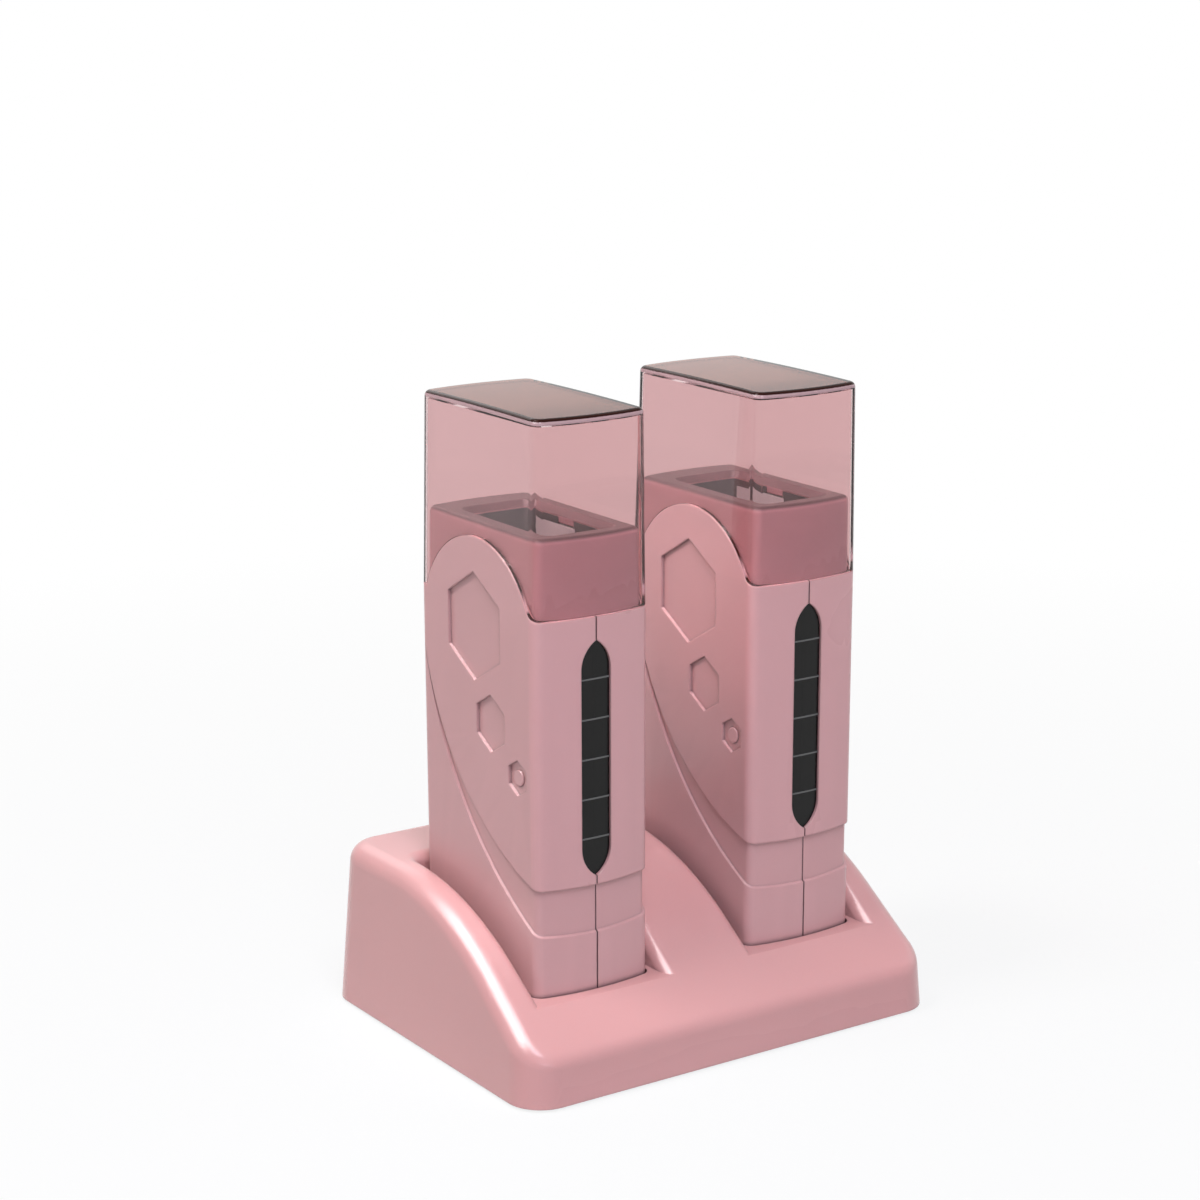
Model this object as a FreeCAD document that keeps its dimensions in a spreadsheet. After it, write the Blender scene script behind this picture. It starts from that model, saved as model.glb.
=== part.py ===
"""Twin roll on wax heater: two upright cartridge heaters that stand in a moulded docking base.

Axes: +X to the right along the base, -Y to the front (the side with the level windows), +Z up.
Origin: the middle of the base's footprint, on the surface that the rubber feet stand on.
Heights in the sheet are measured from the underside of the base housing. A size that belongs
to a heater is measured from the heater's own upright centre line.
"""
import FreeCAD, Part
import math
import os
import re

import Sketcher
from FreeCAD import Placement, Rotation, Vector

SIZES = (
    # docking base
    ("base_side_margin", 17.2, "outer slot walls to the sides of the base, at its foot"),
    ("base_depth", 136.7, "base, front to back at its foot"),
    ("base_height", 59.0, "flat top at the back of the base"),
    ("base_draft", 3.5, "lean of the base's four sides, degrees"),
    ("base_corner_radius", 13.0, "upright corners of the base"),
    ("base_edge_radius", 7.0, "rounding all round the top"),
    ("base_wall", 2.5, "moulded wall of the base"),
    ("slope_lead", 5.7, "where the flat top starts to fall, before the slots' rear wall"),
    ("slope_radius", 108.0, "convex part of the slope"),
    ("slope_angle", 35.0, "steepest part of the slope, degrees"),
    ("foot_stand", 1.0, "how far the rubber feet stand proud"),
    ("foot_radius", 7.0, "rubber foot"),
    ("foot_recess", 1.0, "depth of a foot's seat in the base plate"),
    ("foot_inset_x", 24.0, "foot centre to the side of the base"),
    ("foot_inset_y", 20.0, "foot centre to the front or back of the base"),
    ("plate_thick", 2.4, "base plate"),
    ("plate_gap", 0.15, "base plate to housing"),
    # slots and docks
    ("slot_width", 51.0, "slot that a heater stands in, at its floor"),
    ("slot_flare", 1.0, "how much further out each slot wall is at the top"),
    ("slot_floor", 28.5, "height of the slot's floor"),
    ("slot_rear_gap", 0.1, "slot's rear wall behind the dock"),
    ("slot_corner_radius", 5.0, "slot's rear corners"),
    ("slot_edge_radius", 4.0, "rounding along the slot's top edges"),
    ("dock_clearance", 0.7, "heater to dock, all round"),
    ("dock_floor", 12.5, "height of the dock's floor"),
    ("rest_gap", 0.3, "between parts that lift off each other"),
    # heater outline
    ("heater_pitch", 88.5, "between the two heaters' centre lines"),
    ("heater_forward", 6.3, "heater's centre line in front of the base's centre"),
    ("heater_width", 45.7, "across the broad sides"),
    ("heater_depth", 71.95, "between the corner edges, front to back"),
    ("face_bow", 2.7, "how far the narrow faces bulge"),
    ("heater_corner_radius", 4.0, "upright corners"),
    ("shell_wall", 2.0, "heater shell"),
    ("fit_gap", 0.1, "between pieces that are fixed together"),
    ("seam_width", 0.25, "relief along the seam, in each half"),
    ("seam_depth", 0.4, "relief below the recessed band"),
    # shoulder line: flat in front and behind, arched over each broad side
    ("shoulder_height", 158.85, "lower edge of the cap"),
    ("arch_offset", -0.55, "arch centre behind the heater's centre line"),
    ("arch_height", 146.9, "arch centre"),
    ("arch_radius", 34.4, "arch"),
    ("arch_foot_radius", 6.5, "sweep from the arch into the flat front"),
    # recessed band round the front, swept up to the back edges
    ("band_depth", 1.0, "recess of the band"),
    ("band_tip_z", 150.1, "where the band's edges meet at the back"),
    ("skirt_front_z", 65.2, "band's upper edge in front"),
    ("skirt_radius", 96.2, "arc of the band's upper edge"),
    ("lip_front_z", 47.65, "band's lower edge in front"),
    ("lip_radius", 126.0, "arc of the band's lower edge"),
    # six-sided recesses on the key side
    ("hex_depth", 1.1, "depth of the recesses"),
    ("large_hex_radius", 18.9, "across corners, halved"),
    ("large_hex_y", 1.3, "centre"),
    ("large_hex_z", 150.4, "centre"),
    ("middle_hex_radius", 10.1, "across corners, halved"),
    ("middle_hex_y", -8.6, "centre"),
    ("middle_hex_z", 118.7, "centre"),
    ("small_hex_radius", 6.3, "across corners, halved"),
    ("small_hex_y", -25.2, "centre, also the key's"),
    ("small_hex_z", 103.7, "centre, also the key's"),
    # power key in the small recess
    ("key_radius", 2.8, "key head"),
    ("key_gap", 0.08, "key to its hole, all round"),
    ("key_proud", 0.7, "key head above the recess"),
    ("key_travel", 0.8, "press"),
    ("key_flange_radius", 4.0, "flange behind the wall"),
    ("key_flange_thick", 0.8, "flange behind the wall"),
    ("key_stem_radius", 1.25, "stem into the switch"),
    ("stem_engage", 0.2, "stem inside the switch at rest"),
    # level window
    ("window_width", 11.7, "across"),
    ("window_top", 150.9, "upper point"),
    ("window_bottom", 68.8, "lower point"),
    ("window_point", 10.0, "length of each pointed end"),
    ("lens_set_back", 1.0, "lens behind the face"),
    ("lens_flange", 1.8, "flange beyond the window's edge"),
    ("lens_flange_thick", 1.3, "flange behind the wall"),
    ("mark_first", 137.5, "upper level mark"),
    ("mark_step", 13.83, "between level marks"),
    ("mark_height", 0.55, "level mark"),
    ("mark_proud", 0.25, "level mark in front of the lens"),
    # collar and its opening
    ("collar_top", 186.0, "rim of the collar"),
    ("collar_overlap", 4.0, "collar inside the shell, below the shoulder"),
    ("collar_wall", 2.0, "collar"),
    ("collar_corner_radius", 3.0, "upright corners"),
    ("collar_edge_radius", 2.0, "rounding of the rim"),
    ("opening_width", 24.5, "cartridge opening, across"),
    ("opening_length", 50.0, "cartridge opening, front to back"),
    ("opening_offset", -3.75, "opening's centre from the heater's centre line"),
    ("opening_corner_radius", 2.0, "opening's corners"),
    ("rim_chamfer", 2.2, "lead-in round the opening"),
    ("collar_top_thick", 2.6, "collar's flat top"),
    ("catch_width", 9.2, "catch that holds the cartridge"),
    ("catch_depth", 2.0, "catch below the collar's top"),
    ("catch_thick", 1.8, "catch"),
    ("catch_offset", -1.95, "catch's centre from the heater's centre line"),
    # cap
    ("cap_top", 224.5, "cap, at its edges"),
    ("cap_crown", 1.5, "how much higher its middle is"),
    ("cap_wall", 1.5, "cap"),
    ("cap_edge_radius", 2.0, "rounding of the top"),
    ("cap_side_draft", 0.9, "lean of the cap's and collar's broad sides, degrees"),
    ("cap_rear_draft", 1.4, "lean of the cap's and collar's backs, degrees"),
    # cartridge well and what heats it
    ("well_wall", 1.5, "cartridge well"),
    ("well_foot", 70.0, "underside of the well"),
    ("well_floor", 2.0, "thickness of its floor"),
    ("well_slit_width", 8.0, "slit that shows the wax level"),
    ("well_slit_lead", 3.8, "slit's lower end above the well's floor"),
    ("well_slit_margin", 7.0, "slit's upper end below the window's point"),
    ("ledge_thick", 4.0, "ledge that the well stands on"),
    ("ledge_length", 15.0, "ledge, front to back"),
    ("ledge_reach", 9.0, "ledge's free end from the seam"),
    ("heat_plate_top", 180.8, "upper edge of the heat plates"),
    ("heat_plate_low", 76.0, "lower edge of the heat plates"),
    ("heat_plate_width", 27.0, "heat plate, front to back"),
    ("heat_plate_offset", 6.25, "heat plate's centre from the heater's centre line"),
    ("element_width", 22.0, "heating element, front to back"),
    ("element_height", 40.0, "heating element"),
    ("element_thick", 3.4, "heating element"),
    ("element_low", 100.0, "element's lower edge"),
    ("clip_thick", 0.5, "spring clip's strip"),
    ("clip_height", 16.0, "spring clip"),
    ("clip_foot", 3.0, "spring clip's feet"),
    ("cutout_width", 4.0, "thermal cutout, front to back"),
    ("cutout_height", 11.0, "thermal cutout"),
    ("cutout_thick", 2.4, "thermal cutout"),
    ("cutout_low", 148.0, "thermal cutout's lower edge"),
    # control board
    ("board_thick", 1.6, "control board"),
    ("board_width", 14.0, "control board, front to back"),
    ("board_height", 30.0, "control board"),
    ("switch_width", 6.0, "push switch"),
    ("switch_thick", 1.2, "push switch"),
    ("lamp_radius", 1.5, "indicator lamp"),
    ("lamp_length", 1.9, "indicator lamp"),
    ("lamp_rise", 6.0, "lamp above the key"),
    ("chip_width", 5.0, "chips on the control board"),
    ("chip_thick", 1.0, "chips on the control board"),
    # plug and socket under each heater
    ("socket_width", 20.0, "socket block, across"),
    ("socket_length", 28.0, "socket block, front to back"),
    ("socket_height", 19.0, "socket block"),
    ("socket_flange", 2.0, "flange round the socket block"),
    ("nose_width", 8.0, "dock connector's nose, across"),
    ("nose_length", 17.0, "dock connector's nose, front to back"),
    ("nose_height", 10.5, "dock connector's nose above the dock's floor"),
    ("nose_gap", 0.5, "nose to socket, all round"),
    ("pin_radius", 1.2, "contact pin"),
    ("pin_pitch", 8.6, "between the two pins"),
    ("pin_gap", 0.08, "pin to contact, all round"),
    ("pin_set_in", 3.5, "pin's tip inside the socket's mouth"),
    ("pin_tail", 3.0, "pin beyond the block"),
    ("contact_wall", 0.4, "contact sleeve"),
    ("contact_set_in", 0.3, "contact sleeve's rim inside the nose"),
    ("contact_tail", 1.0, "contact sleeve below the connector"),
    ("connector_flange", 3.0, "connector's flange below the dock's floor"),
    ("connector_margin", 5.0, "connector's flange beyond the nose"),
    # power inlet in the back of the base
    ("inlet_width", 24.0, "inlet's face, across"),
    ("inlet_height", 15.0, "inlet's face"),
    ("inlet_centre", 15.5, "inlet's centre above the base's underside"),
    ("inlet_length", 17.0, "inlet, front to back"),
    ("inlet_set_in", 1.6, "inlet's face inside the foot of the base"),
    ("inlet_flange", 2.0, "inlet's flange behind the wall"),
    ("inlet_well_width", 16.0, "inlet's recess, across"),
    ("inlet_well_height", 7.6, "inlet's recess"),
    ("inlet_well_depth", 11.0, "inlet's recess"),
    # fasteners and wires
    ("boss_radius", 4.0, "screw boss in the base"),
    ("prop_length", 4.0, "props on the base plate, front to back"),
    ("screw_radius", 1.4, "screw thread"),
    ("screw_head_radius", 2.6, "screw head"),
    ("screw_head_height", 1.2, "screw head"),
    ("screw_spare", 0.8, "hole beyond a screw's tip"),
    ("head_gap", 0.3, "screw head to its seat's wall"),
    ("screw_seat_depth", 1.4, "base screws' heads from the underside"),
    ("base_screw_length", 9.0, "thread of a base screw"),
    ("boss_inset_x", 11.0, "corner boss centre to the side of the base"),
    ("boss_inset_y", 11.0, "corner boss centre to the front or back of the base"),
    ("shell_boss_radius", 3.6, "screw boss in a heater shell"),
    ("shell_screw_z", 21.5, "shell screws' height"),
    ("shell_screw_y", 26.0, "shell screws from the heater's centre line"),
    ("shell_screw_seat", 9.0, "screw head's seat from the seam"),
    ("shell_screw_length", 17.0, "thread of a shell screw"),
    ("wire_radius", 1.1, "insulated wire"),
    ("wire_lift", 0.5, "lowest wires above the base plate"),
    ("wire_bend", 6.0, "wires' usual bend radius"),
    ("wire_y_step", 4.0, "between the wires on the control board"),
)

doc = FreeCAD.newDocument("roll_on_wax_heater")
sheet = doc.addObject("Spreadsheet::Sheet", "sizes")
for row, (size_name, size_value, size_note) in enumerate(SIZES, start=1):
    sheet.set(f"A{row}", size_note)
    sheet.set(f"B{row}", str(size_value))
    sheet.setAlias(f"B{row}", size_name)
doc.recompute()


# ---------------------------------------------------------------- formulas

def link(formula):
    """The formula with each size's name pointing at its cell in the sheet."""
    return re.sub(r"\b([a-z][a-z0-9_]*)\b(?!\()", r"sizes.\1", str(formula))


def number(formula):
    """What the formula comes to with the sheet's present sizes."""
    result = sheet.evalExpression(link(formula))
    return float(getattr(result, "Value", result))


BASE_WIDTH = "(heater_pitch + slot_width + 2*base_side_margin)"
BOW_RADIUS = "(((heater_width/2)^2 + face_bow^2)/(2*face_bow))"
HEATER_FOOT = "(dock_floor + rest_gap)"
SLOT_REAR = "(heater_depth/2 + face_bow - heater_forward + dock_clearance + slot_rear_gap)"
SLOPE_START = f"({SLOT_REAR} - slope_lead)"
SHELL_TOP = "(arch_height + arch_radius)"
COLLAR_UNDERSIDE = "(collar_top - collar_top_thick)"
SEAT_INSET = "(shell_wall + fit_gap)"
WELL_HALF = "(opening_width/2 + well_wall)"
BOARD_FACE = f"({WELL_HALF} + fit_gap + board_thick)"
CONTACT_RADIUS = "(pin_radius + pin_gap + contact_wall)"
CONNECTOR_FOOT = "(dock_floor - base_wall - fit_gap - connector_flange)"
INLET_FACE = "(base_depth/2 - inlet_set_in)"
INLET_SEAT = ("(base_depth/2 - base_wall - fit_gap"
              " - (inlet_centre + inlet_height/2 + inlet_flange)*tan(1deg*base_draft))")


def half_width(inset):
    """Broad side of the heater's outline, moved in by inset."""
    return f"(heater_width/2 - ({inset}))"


def face_at(x, inset):
    """How far out the bowed narrow face is at x, with the outline moved in."""
    reach = f"sqrt(({BOW_RADIUS} - ({inset}))^2 - ({x})^2)"
    return f"(heater_depth/2 + face_bow - {BOW_RADIUS} + {reach})"


def face_end(inset):
    """Where the bowed narrow face meets the broad side, with the outline moved in."""
    return face_at(half_width(inset), inset)


def face_crest(inset):
    """Foremost point of the bowed narrow face, with the outline moved in."""
    return f"(heater_depth/2 + face_bow - ({inset}))"


# ---------------------------------------------------------------- sketches and features

def arc_between(start, end, radius, turn):
    """The shorter arc from start to end that turns left or right on its way."""
    chord = end - start
    bulge = radius - math.sqrt(max(radius ** 2 - (chord.Length / 2) ** 2, 0.0))
    right_hand = Vector(chord.y, -chord.x, 0).normalize()
    side = 1 if turn == "left" else -1
    return Part.ArcOfCircle(start, (start + end) * 0.5 + right_hand * bulge * side, end)


def fix_point(profile, geometry, end, place):
    """Ties a point of the sketch to two formulas."""
    for axis, kind, formula in ((-2, "DistanceX", place[0]), (-1, "DistanceY", place[1])):
        if abs(number(formula)) < 1e-9:
            profile.addConstraint(Sketcher.Constraint("PointOnObject", geometry, end, axis))
        else:
            distance = Sketcher.Constraint(kind, -1, 1, geometry, end, number(formula))
            index = profile.addConstraint(distance)
            profile.setExpression(f"Constraints[{index}]", link(formula))


def fix_radius(profile, geometry, formula):
    """Ties an arc's or a circle's radius to a formula."""
    index = profile.addConstraint(Sketcher.Constraint("Radius", geometry, number(formula)))
    profile.setExpression(f"Constraints[{index}]", link(formula))


def draw_circle(profile, centre, radius):
    """A circle round a centre, all by formula."""
    middle = Vector(number(centre[0]), number(centre[1]), 0)
    curve = Part.Circle(middle, Vector(0, 0, 1), number(radius))
    geometry = profile.addGeometry(curve, False)
    fix_point(profile, geometry, 3, centre)
    fix_radius(profile, geometry, radius)


def draw_loop(profile, corners):
    """A closed outline. A corner is (x, y), or (x, y, radius, turn) where an arc leaves it."""
    places = [Vector(number(corner[0]), number(corner[1]), 0) for corner in corners]
    drawn, meeting = [], [[] for _ in corners]
    for index, corner in enumerate(corners):
        following = (index + 1) % len(corners)
        start, end = places[index], places[following]
        if len(corner) == 2:
            geometry = profile.addGeometry(Part.LineSegment(start, end), False)
        else:
            curve = arc_between(start, end, number(corner[2]), corner[3])
            geometry = profile.addGeometry(curve, False)
        drawn.append(geometry)
        first = profile.getPoint(geometry, 1)
        first_is_start = (first - start).Length < (first - end).Length
        meeting[index].append((geometry, 1 if first_is_start else 2))
        meeting[following].append((geometry, 2 if first_is_start else 1))
    for corner, ends in zip(corners, meeting):
        profile.addConstraint(Sketcher.Constraint("Coincident", *ends[0], *ends[1]))
        fix_point(profile, *ends[0], corner)
    for corner, geometry in zip(corners, drawn):
        if len(corner) == 4:
            fix_radius(profile, geometry, corner[2])


def sketch(owner, name, plane, outlines, lift="0"):
    """A sketch on one of the body's origin planes, lifted along the plane's normal."""
    profile = owner.newObject("Sketcher::SketchObject", name)
    origin_plane = next(item for item in owner.Origin.OriginFeatures if item.Role == plane)
    profile.AttachmentSupport = (origin_plane, [""])
    profile.MapMode = "FlatFace"
    profile.setExpression("AttachmentOffset.Base.z", link(f"1*({lift})"))
    for outline in outlines:
        if outline[0] == "circle":
            draw_circle(profile, outline[1], outline[2])
        else:
            draw_loop(profile, outline)
    doc.recompute()
    return profile


def new_body(name):
    return doc.addObject("PartDesign::Body", name)


def settle(owner):
    """Recomputes and stops at a feature that failed."""
    doc.recompute()
    if owner.Tip.State != ["Up-to-date"] or not owner.Shape.isValid():
        status = owner.Tip.getStatusString()
        raise RuntimeError(f"{owner.Name}: {owner.Tip.Name} {owner.Tip.State} {status}")


def pad(owner, name, profile, length, reverse=False, symmetric=False):
    """Adds the profile's extrusion."""
    feature = owner.newObject("PartDesign::Pad", name)
    feature.Profile = profile
    feature.setExpression("Length", link(length))
    feature.Reversed = reverse
    if symmetric:
        feature.SideType = "Symmetric"
    settle(owner)
    return feature


def pocket(owner, name, profile, length=None, reverse=False, symmetric=False):
    """Cuts the profile's extrusion away: through everything, or to a length."""
    before = owner.Shape.Volume
    feature = owner.newObject("PartDesign::Pocket", name)
    feature.Profile = profile
    if length is None:
        feature.Type = "ThroughAll"
    else:
        feature.setExpression("Length", link(length))
    feature.Reversed = reverse
    if symmetric:
        feature.SideType = "Symmetric"
    settle(owner)
    if owner.Shape.Volume > before - 1e-3:
        raise RuntimeError(f"{owner.Name}: {name} cuts nothing")
    return feature


def draft(owner, name, angle, level, wanted):
    """Leans the faces that wanted picks inwards above the flat face at a level."""
    drafted = owner.Tip
    named = [(f"Face{index}", face) for index, face in enumerate(owner.Shape.Faces, start=1)]
    leaning = [label for label, face in named if wanted(face)]
    neutral = [label for label, face in named
               if face.BoundBox.ZLength < 1e-6 and abs(face.BoundBox.ZMin - level) < 1e-6]
    if not leaning or not neutral:
        raise RuntimeError(f"{owner.Name}: {name} finds no face")
    feature = owner.newObject("PartDesign::Draft", name)
    feature.Base = (drafted, leaning)
    feature.NeutralPlane = (drafted, neutral[:1])
    feature.setExpression("Angle", link(angle))
    settle(owner)
    return feature


def dress(owner, kind, name, size, wanted):
    """A fillet or chamfer on the edges that wanted picks."""
    edges = [f"Edge{index}" for index, edge in enumerate(owner.Shape.Edges, start=1)
             if wanted(edge)]
    if not edges:
        raise RuntimeError(f"{owner.Name}: {name} finds no edge")
    dressed = owner.Tip
    feature = owner.newObject(kind, name)
    feature.Base = (dressed, edges)
    feature.setExpression("Radius" if kind.endswith("Fillet") else "Size", link(size))
    settle(owner)
    return feature


def fillet(owner, name, radius, wanted):
    return dress(owner, "PartDesign::Fillet", name, radius, wanted)


def chamfer(owner, name, size, wanted):
    return dress(owner, "PartDesign::Chamfer", name, size, wanted)


def runs_up(edge, lean=0.0):
    """True for a straight edge within lean of upright."""
    chord = edge.valueAt(edge.LastParameter) - edge.valueAt(edge.FirstParameter)
    if chord.Length < edge.Length - 1e-4 or chord.Length < 1e-6:
        return False
    return abs(chord.z) / chord.Length > math.cos(math.radians(lean)) - 1e-6


def middle_of(edge):
    return edge.valueAt((edge.FirstParameter + edge.LastParameter) / 2)


def corners_at(half, lean=0.0):
    """Picks the upright edges that stand at least half from the YZ plane."""
    return lambda edge: runs_up(edge, lean) and abs(middle_of(edge).x) > half - 1e-3


def box_outline(x_low, x_high, y_low, y_high):
    return [(x_low, y_low), (x_high, y_low), (x_high, y_high), (x_low, y_high)]


def centred_box(width, length, x="0", y="0"):
    return box_outline(f"({x}) - ({width})/2", f"({x}) + ({width})/2",
                       f"({y}) - ({length})/2", f"({y}) + ({length})/2")


def rounded_box(width, length, radius, x="0", y="0"):
    """A rectangle with round corners."""
    half, reach = f"({width})/2", f"({length})/2"
    left, right = f"(({x}) - {half})", f"(({x}) + {half})"
    front, back = f"(({y}) - {reach})", f"(({y}) + {reach})"
    return [(f"{left} + {radius}", front),
            (f"{right} - {radius}", front, radius, "left"),
            (right, f"{front} + {radius}"),
            (right, f"{back} - {radius}", radius, "left"),
            (f"{right} - {radius}", back),
            (f"{left} + {radius}", back, radius, "left"),
            (left, f"{back} - {radius}"),
            (left, f"{front} + {radius}", radius, "left")]


def stadium(width, length, x="0", y="0", along_x=False):
    """A slot with round ends, its long axis along the sketch's Y or X."""
    half, reach = f"(({width})/2)", f"((({length}) - ({width}))/2)"
    if along_x:
        return [(f"({x}) - {reach}", f"({y}) - {half}"),
                (f"({x}) + {reach}", f"({y}) - {half}", half, "left"),
                (f"({x}) + {reach} + {half}", f"({y})", half, "left"),
                (f"({x}) + {reach}", f"({y}) + {half}"),
                (f"({x}) - {reach}", f"({y}) + {half}", half, "left"),
                (f"({x}) - {reach} - {half}", f"({y})", half, "left")]
    return [(f"({x}) + {half}", f"({y}) - {reach}"),
            (f"({x}) + {half}", f"({y}) + {reach}", half, "left"),
            (f"({x})", f"({y}) + {reach} + {half}", half, "left"),
            (f"({x}) - {half}", f"({y}) + {reach}"),
            (f"({x}) - {half}", f"({y}) - {reach}", half, "left"),
            (f"({x})", f"({y}) - {reach} - {half}", half, "left")]


def hexagon(radius, y, z):
    """A six-sided outline with a corner at the top."""
    return [(f"{y} + ({radius})*{math.sin(math.radians(60 * turn)):.9f}",
             f"{z} + ({radius})*{math.cos(math.radians(60 * turn)):.9f}")
            for turn in range(6)]


# ---------------------------------------------------------------- heater outlines

def plan_outline(inset="0"):
    """The heater seen from above: flat broad sides, bowed narrow faces."""
    side, end, radius = half_width(inset), face_end(inset), f"{BOW_RADIUS} - ({inset})"
    return [(f"-{side}", f"-{end}", radius, "left"), (side, f"-{end}"),
            (side, end, radius, "left"), (f"-{side}", end)]


def rounded_plan_outline(inset, round_by):
    """The plan with its four corners rounded."""
    bow, centre_y = f"({BOW_RADIUS} - ({inset}))", f"(heater_depth/2 + face_bow - {BOW_RADIUS})"
    side, corner_x = half_width(inset), f"({half_width(inset)} - ({round_by}))"
    reach = f"sqrt(({bow} - ({round_by}))^2 - {corner_x}^2)"
    share = f"({bow}/({bow} - ({round_by})))"
    x, end = f"({corner_x}*{share})", f"({centre_y} + {reach}*{share})"
    corner_y = f"({centre_y} + {reach})"
    return [(f"-{x}", f"-{end}", bow, "left"), (x, f"-{end}", round_by, "left"),
            (side, f"-{corner_y}"), (side, corner_y, round_by, "left"),
            (x, end, bow, "left"), (f"-{x}", end, round_by, "left"),
            (f"-{side}", corner_y), (f"-{side}", f"-{corner_y}", round_by, "left")]


def half_plan_outline(hand, inset, seam):
    """The part of the plan on one side of the seam. hand is -1 or 1."""
    side, end, radius = half_width(inset), face_end(inset), f"({BOW_RADIUS} - ({inset}))"
    turn, other = ("left", "right") if hand > 0 else ("right", "left")
    seam_end = face_at(seam, inset)
    return [(f"{hand}*({seam})", f"-{seam_end}", radius, turn),
            (f"{hand}*{side}", f"-{end}"),
            (f"{hand}*{side}", end, radius, turn),
            (f"{hand}*({seam})", seam_end)]


def shoulder_outline(gap, far_level):
    """What lies between the shoulder line, raised by gap, and a level beyond the piece."""
    line = f"(shoulder_height + ({gap}))"
    arch = f"(arch_radius + ({gap}))"
    foot = f"(arch_foot_radius - ({gap}))"
    rise = f"({line} - arch_height)"
    foot_y = f"(arch_offset - sqrt(({arch} + {foot})^2 - ({rise} + {foot})^2))"
    share = f"({arch}/({arch} + {foot}))"
    rear_y = f"(arch_offset + sqrt({arch}^2 - {rise}^2))"
    beyond = "(heater_depth)"
    return [(f"-{beyond}", line),
            (foot_y, line, foot, "left"),
            (f"arch_offset + ({foot_y} - arch_offset)*{share}",
             f"arch_height + ({rise} + {foot})*{share}", arch, "right"),
            ("arch_offset", f"arch_height + {arch}", arch, "right"),
            (rear_y, line), (beyond, line), (beyond, far_level), (f"-{beyond}", far_level)]


def window_outline(width, top, bottom, point):
    """A tall window with pointed ends, in the XZ plane."""
    half = f"(({width})/2)"
    ogive = f"(({half}^2 + ({point})^2)/(2*{half}))"
    upper, lower = f"({top} - ({point}))", f"({bottom} + ({point}))"
    return [("0", bottom, ogive, "left"), (half, lower), (half, upper, ogive, "left"),
            ("0", top, ogive, "left"), (f"-{half}", upper), (f"-{half}", lower, ogive, "left")]


def half_window_outline(hand, width, top, bottom, point):
    """One side of the window, closed along the seam."""
    half = f"(({width})/2)"
    ogive = f"(({half}^2 + ({point})^2)/(2*{half}))"
    turn = "left" if hand > 0 else "right"
    return [("0", bottom, ogive, turn), (f"{hand}*{half}", f"({bottom} + ({point}))"),
            (f"{hand}*{half}", f"({top} - ({point}))", ogive, turn), ("0", top)]


# ---------------------------------------------------------------- finished pieces

kept = []


def keep(piece, name, x="0", y="0", z="0"):
    """Names a finished sub-part and puts it in its place over the base's underside."""
    piece.Label = name
    for axis, formula in (("x", x), ("y", y), ("z", f"({z}) + foot_stand")):
        piece.setExpression(f"Placement.Base.{axis}", link(f"1*({formula})"))
    kept.append(piece)
    return piece


def boolean(kind, name, base, tool):
    result = doc.addObject(kind, name)
    result.Base = base
    result.Tool = tool
    doc.recompute()
    if result.Shape.isNull() or not result.Shape.isValid():
        raise RuntimeError(f"{name} failed")
    return result


def cut(name, base, tool):
    return boolean("Part::Cut", name, base, tool)


def fuse(name, base, tool):
    return boolean("Part::Fuse", name, base, tool)


def common(name, base, tool):
    return boolean("Part::Common", name, base, tool)


def group(name, pieces):
    """Several separate solids in one sub-part."""
    result = doc.addObject("Part::Compound", name)
    result.Links = pieces
    doc.recompute()
    return result


# ---------------------------------------------------------------- docking base

def slope_outline(offset):
    """What lies above the base's top: flat behind, a convex slope, then straight down."""
    radius = f"(slope_radius - ({offset}))"
    centre_z = "(base_height - slope_radius)"
    end_y = f"({SLOPE_START} - {radius}*sin(1deg*slope_angle))"
    end_z = f"({centre_z} + {radius}*cos(1deg*slope_angle))"
    front, sky = "(-base_depth)", "(2*base_height)"
    front_z = f"({end_z} - ({end_y} - {front})*tan(1deg*slope_angle))"
    return [("base_depth", f"base_height - ({offset})"),
            (SLOPE_START, f"base_height - ({offset})", radius, "left"),
            (end_y, end_z), (front, front_z), (front, sky), ("base_depth", sky)]


def slot_outline(centre, grow):
    """Cross-section of a slot: flared walls above a flat floor."""
    low, high = f"(slot_width/2 + ({grow}))", f"(slot_width/2 + slot_flare + ({grow}))"
    floor, sky = f"(slot_floor - ({grow}))", "(2*base_height)"
    lean = f"({low} + ({high} - {low})*({sky} - slot_floor)/(base_height - slot_floor))"
    return [(f"{centre} - {low}", floor), (f"{centre} + {low}", floor),
            (f"{centre} + {lean}", sky), (f"{centre} - {lean}", sky)]


DOCKS = (("left", "(-heater_pitch/2)"), ("right", "(heater_pitch/2)"))


def moved(outline, x, y):
    """The outline shifted by two formulas."""
    return [(f"({corner[0]}) + ({x})", f"({corner[1]}) + ({y})") + tuple(corner[2:])
            for corner in outline]


def base_block(owner, name, inset, low, high):
    """The base's leaning sides, moved in by inset, between two heights."""
    plans = []
    for level, height in (("foot", low), ("top", high)):
        narrowing = f"2*(({inset}) + ({height})*tan(1deg*base_draft))"
        outline = rounded_box(f"({BASE_WIDTH} - {narrowing})", f"(base_depth - {narrowing})",
                              f"(base_corner_radius - ({inset}))")
        plans.append(sketch(owner, f"{name}_{level}", "XY_Plane", [outline], lift=height))
    block = owner.newObject("PartDesign::AdditiveLoft", f"{name}_block")
    block.Profile = plans[0]
    block.Sections = [plans[1]]
    block.Ruled = True
    settle(owner)


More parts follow.
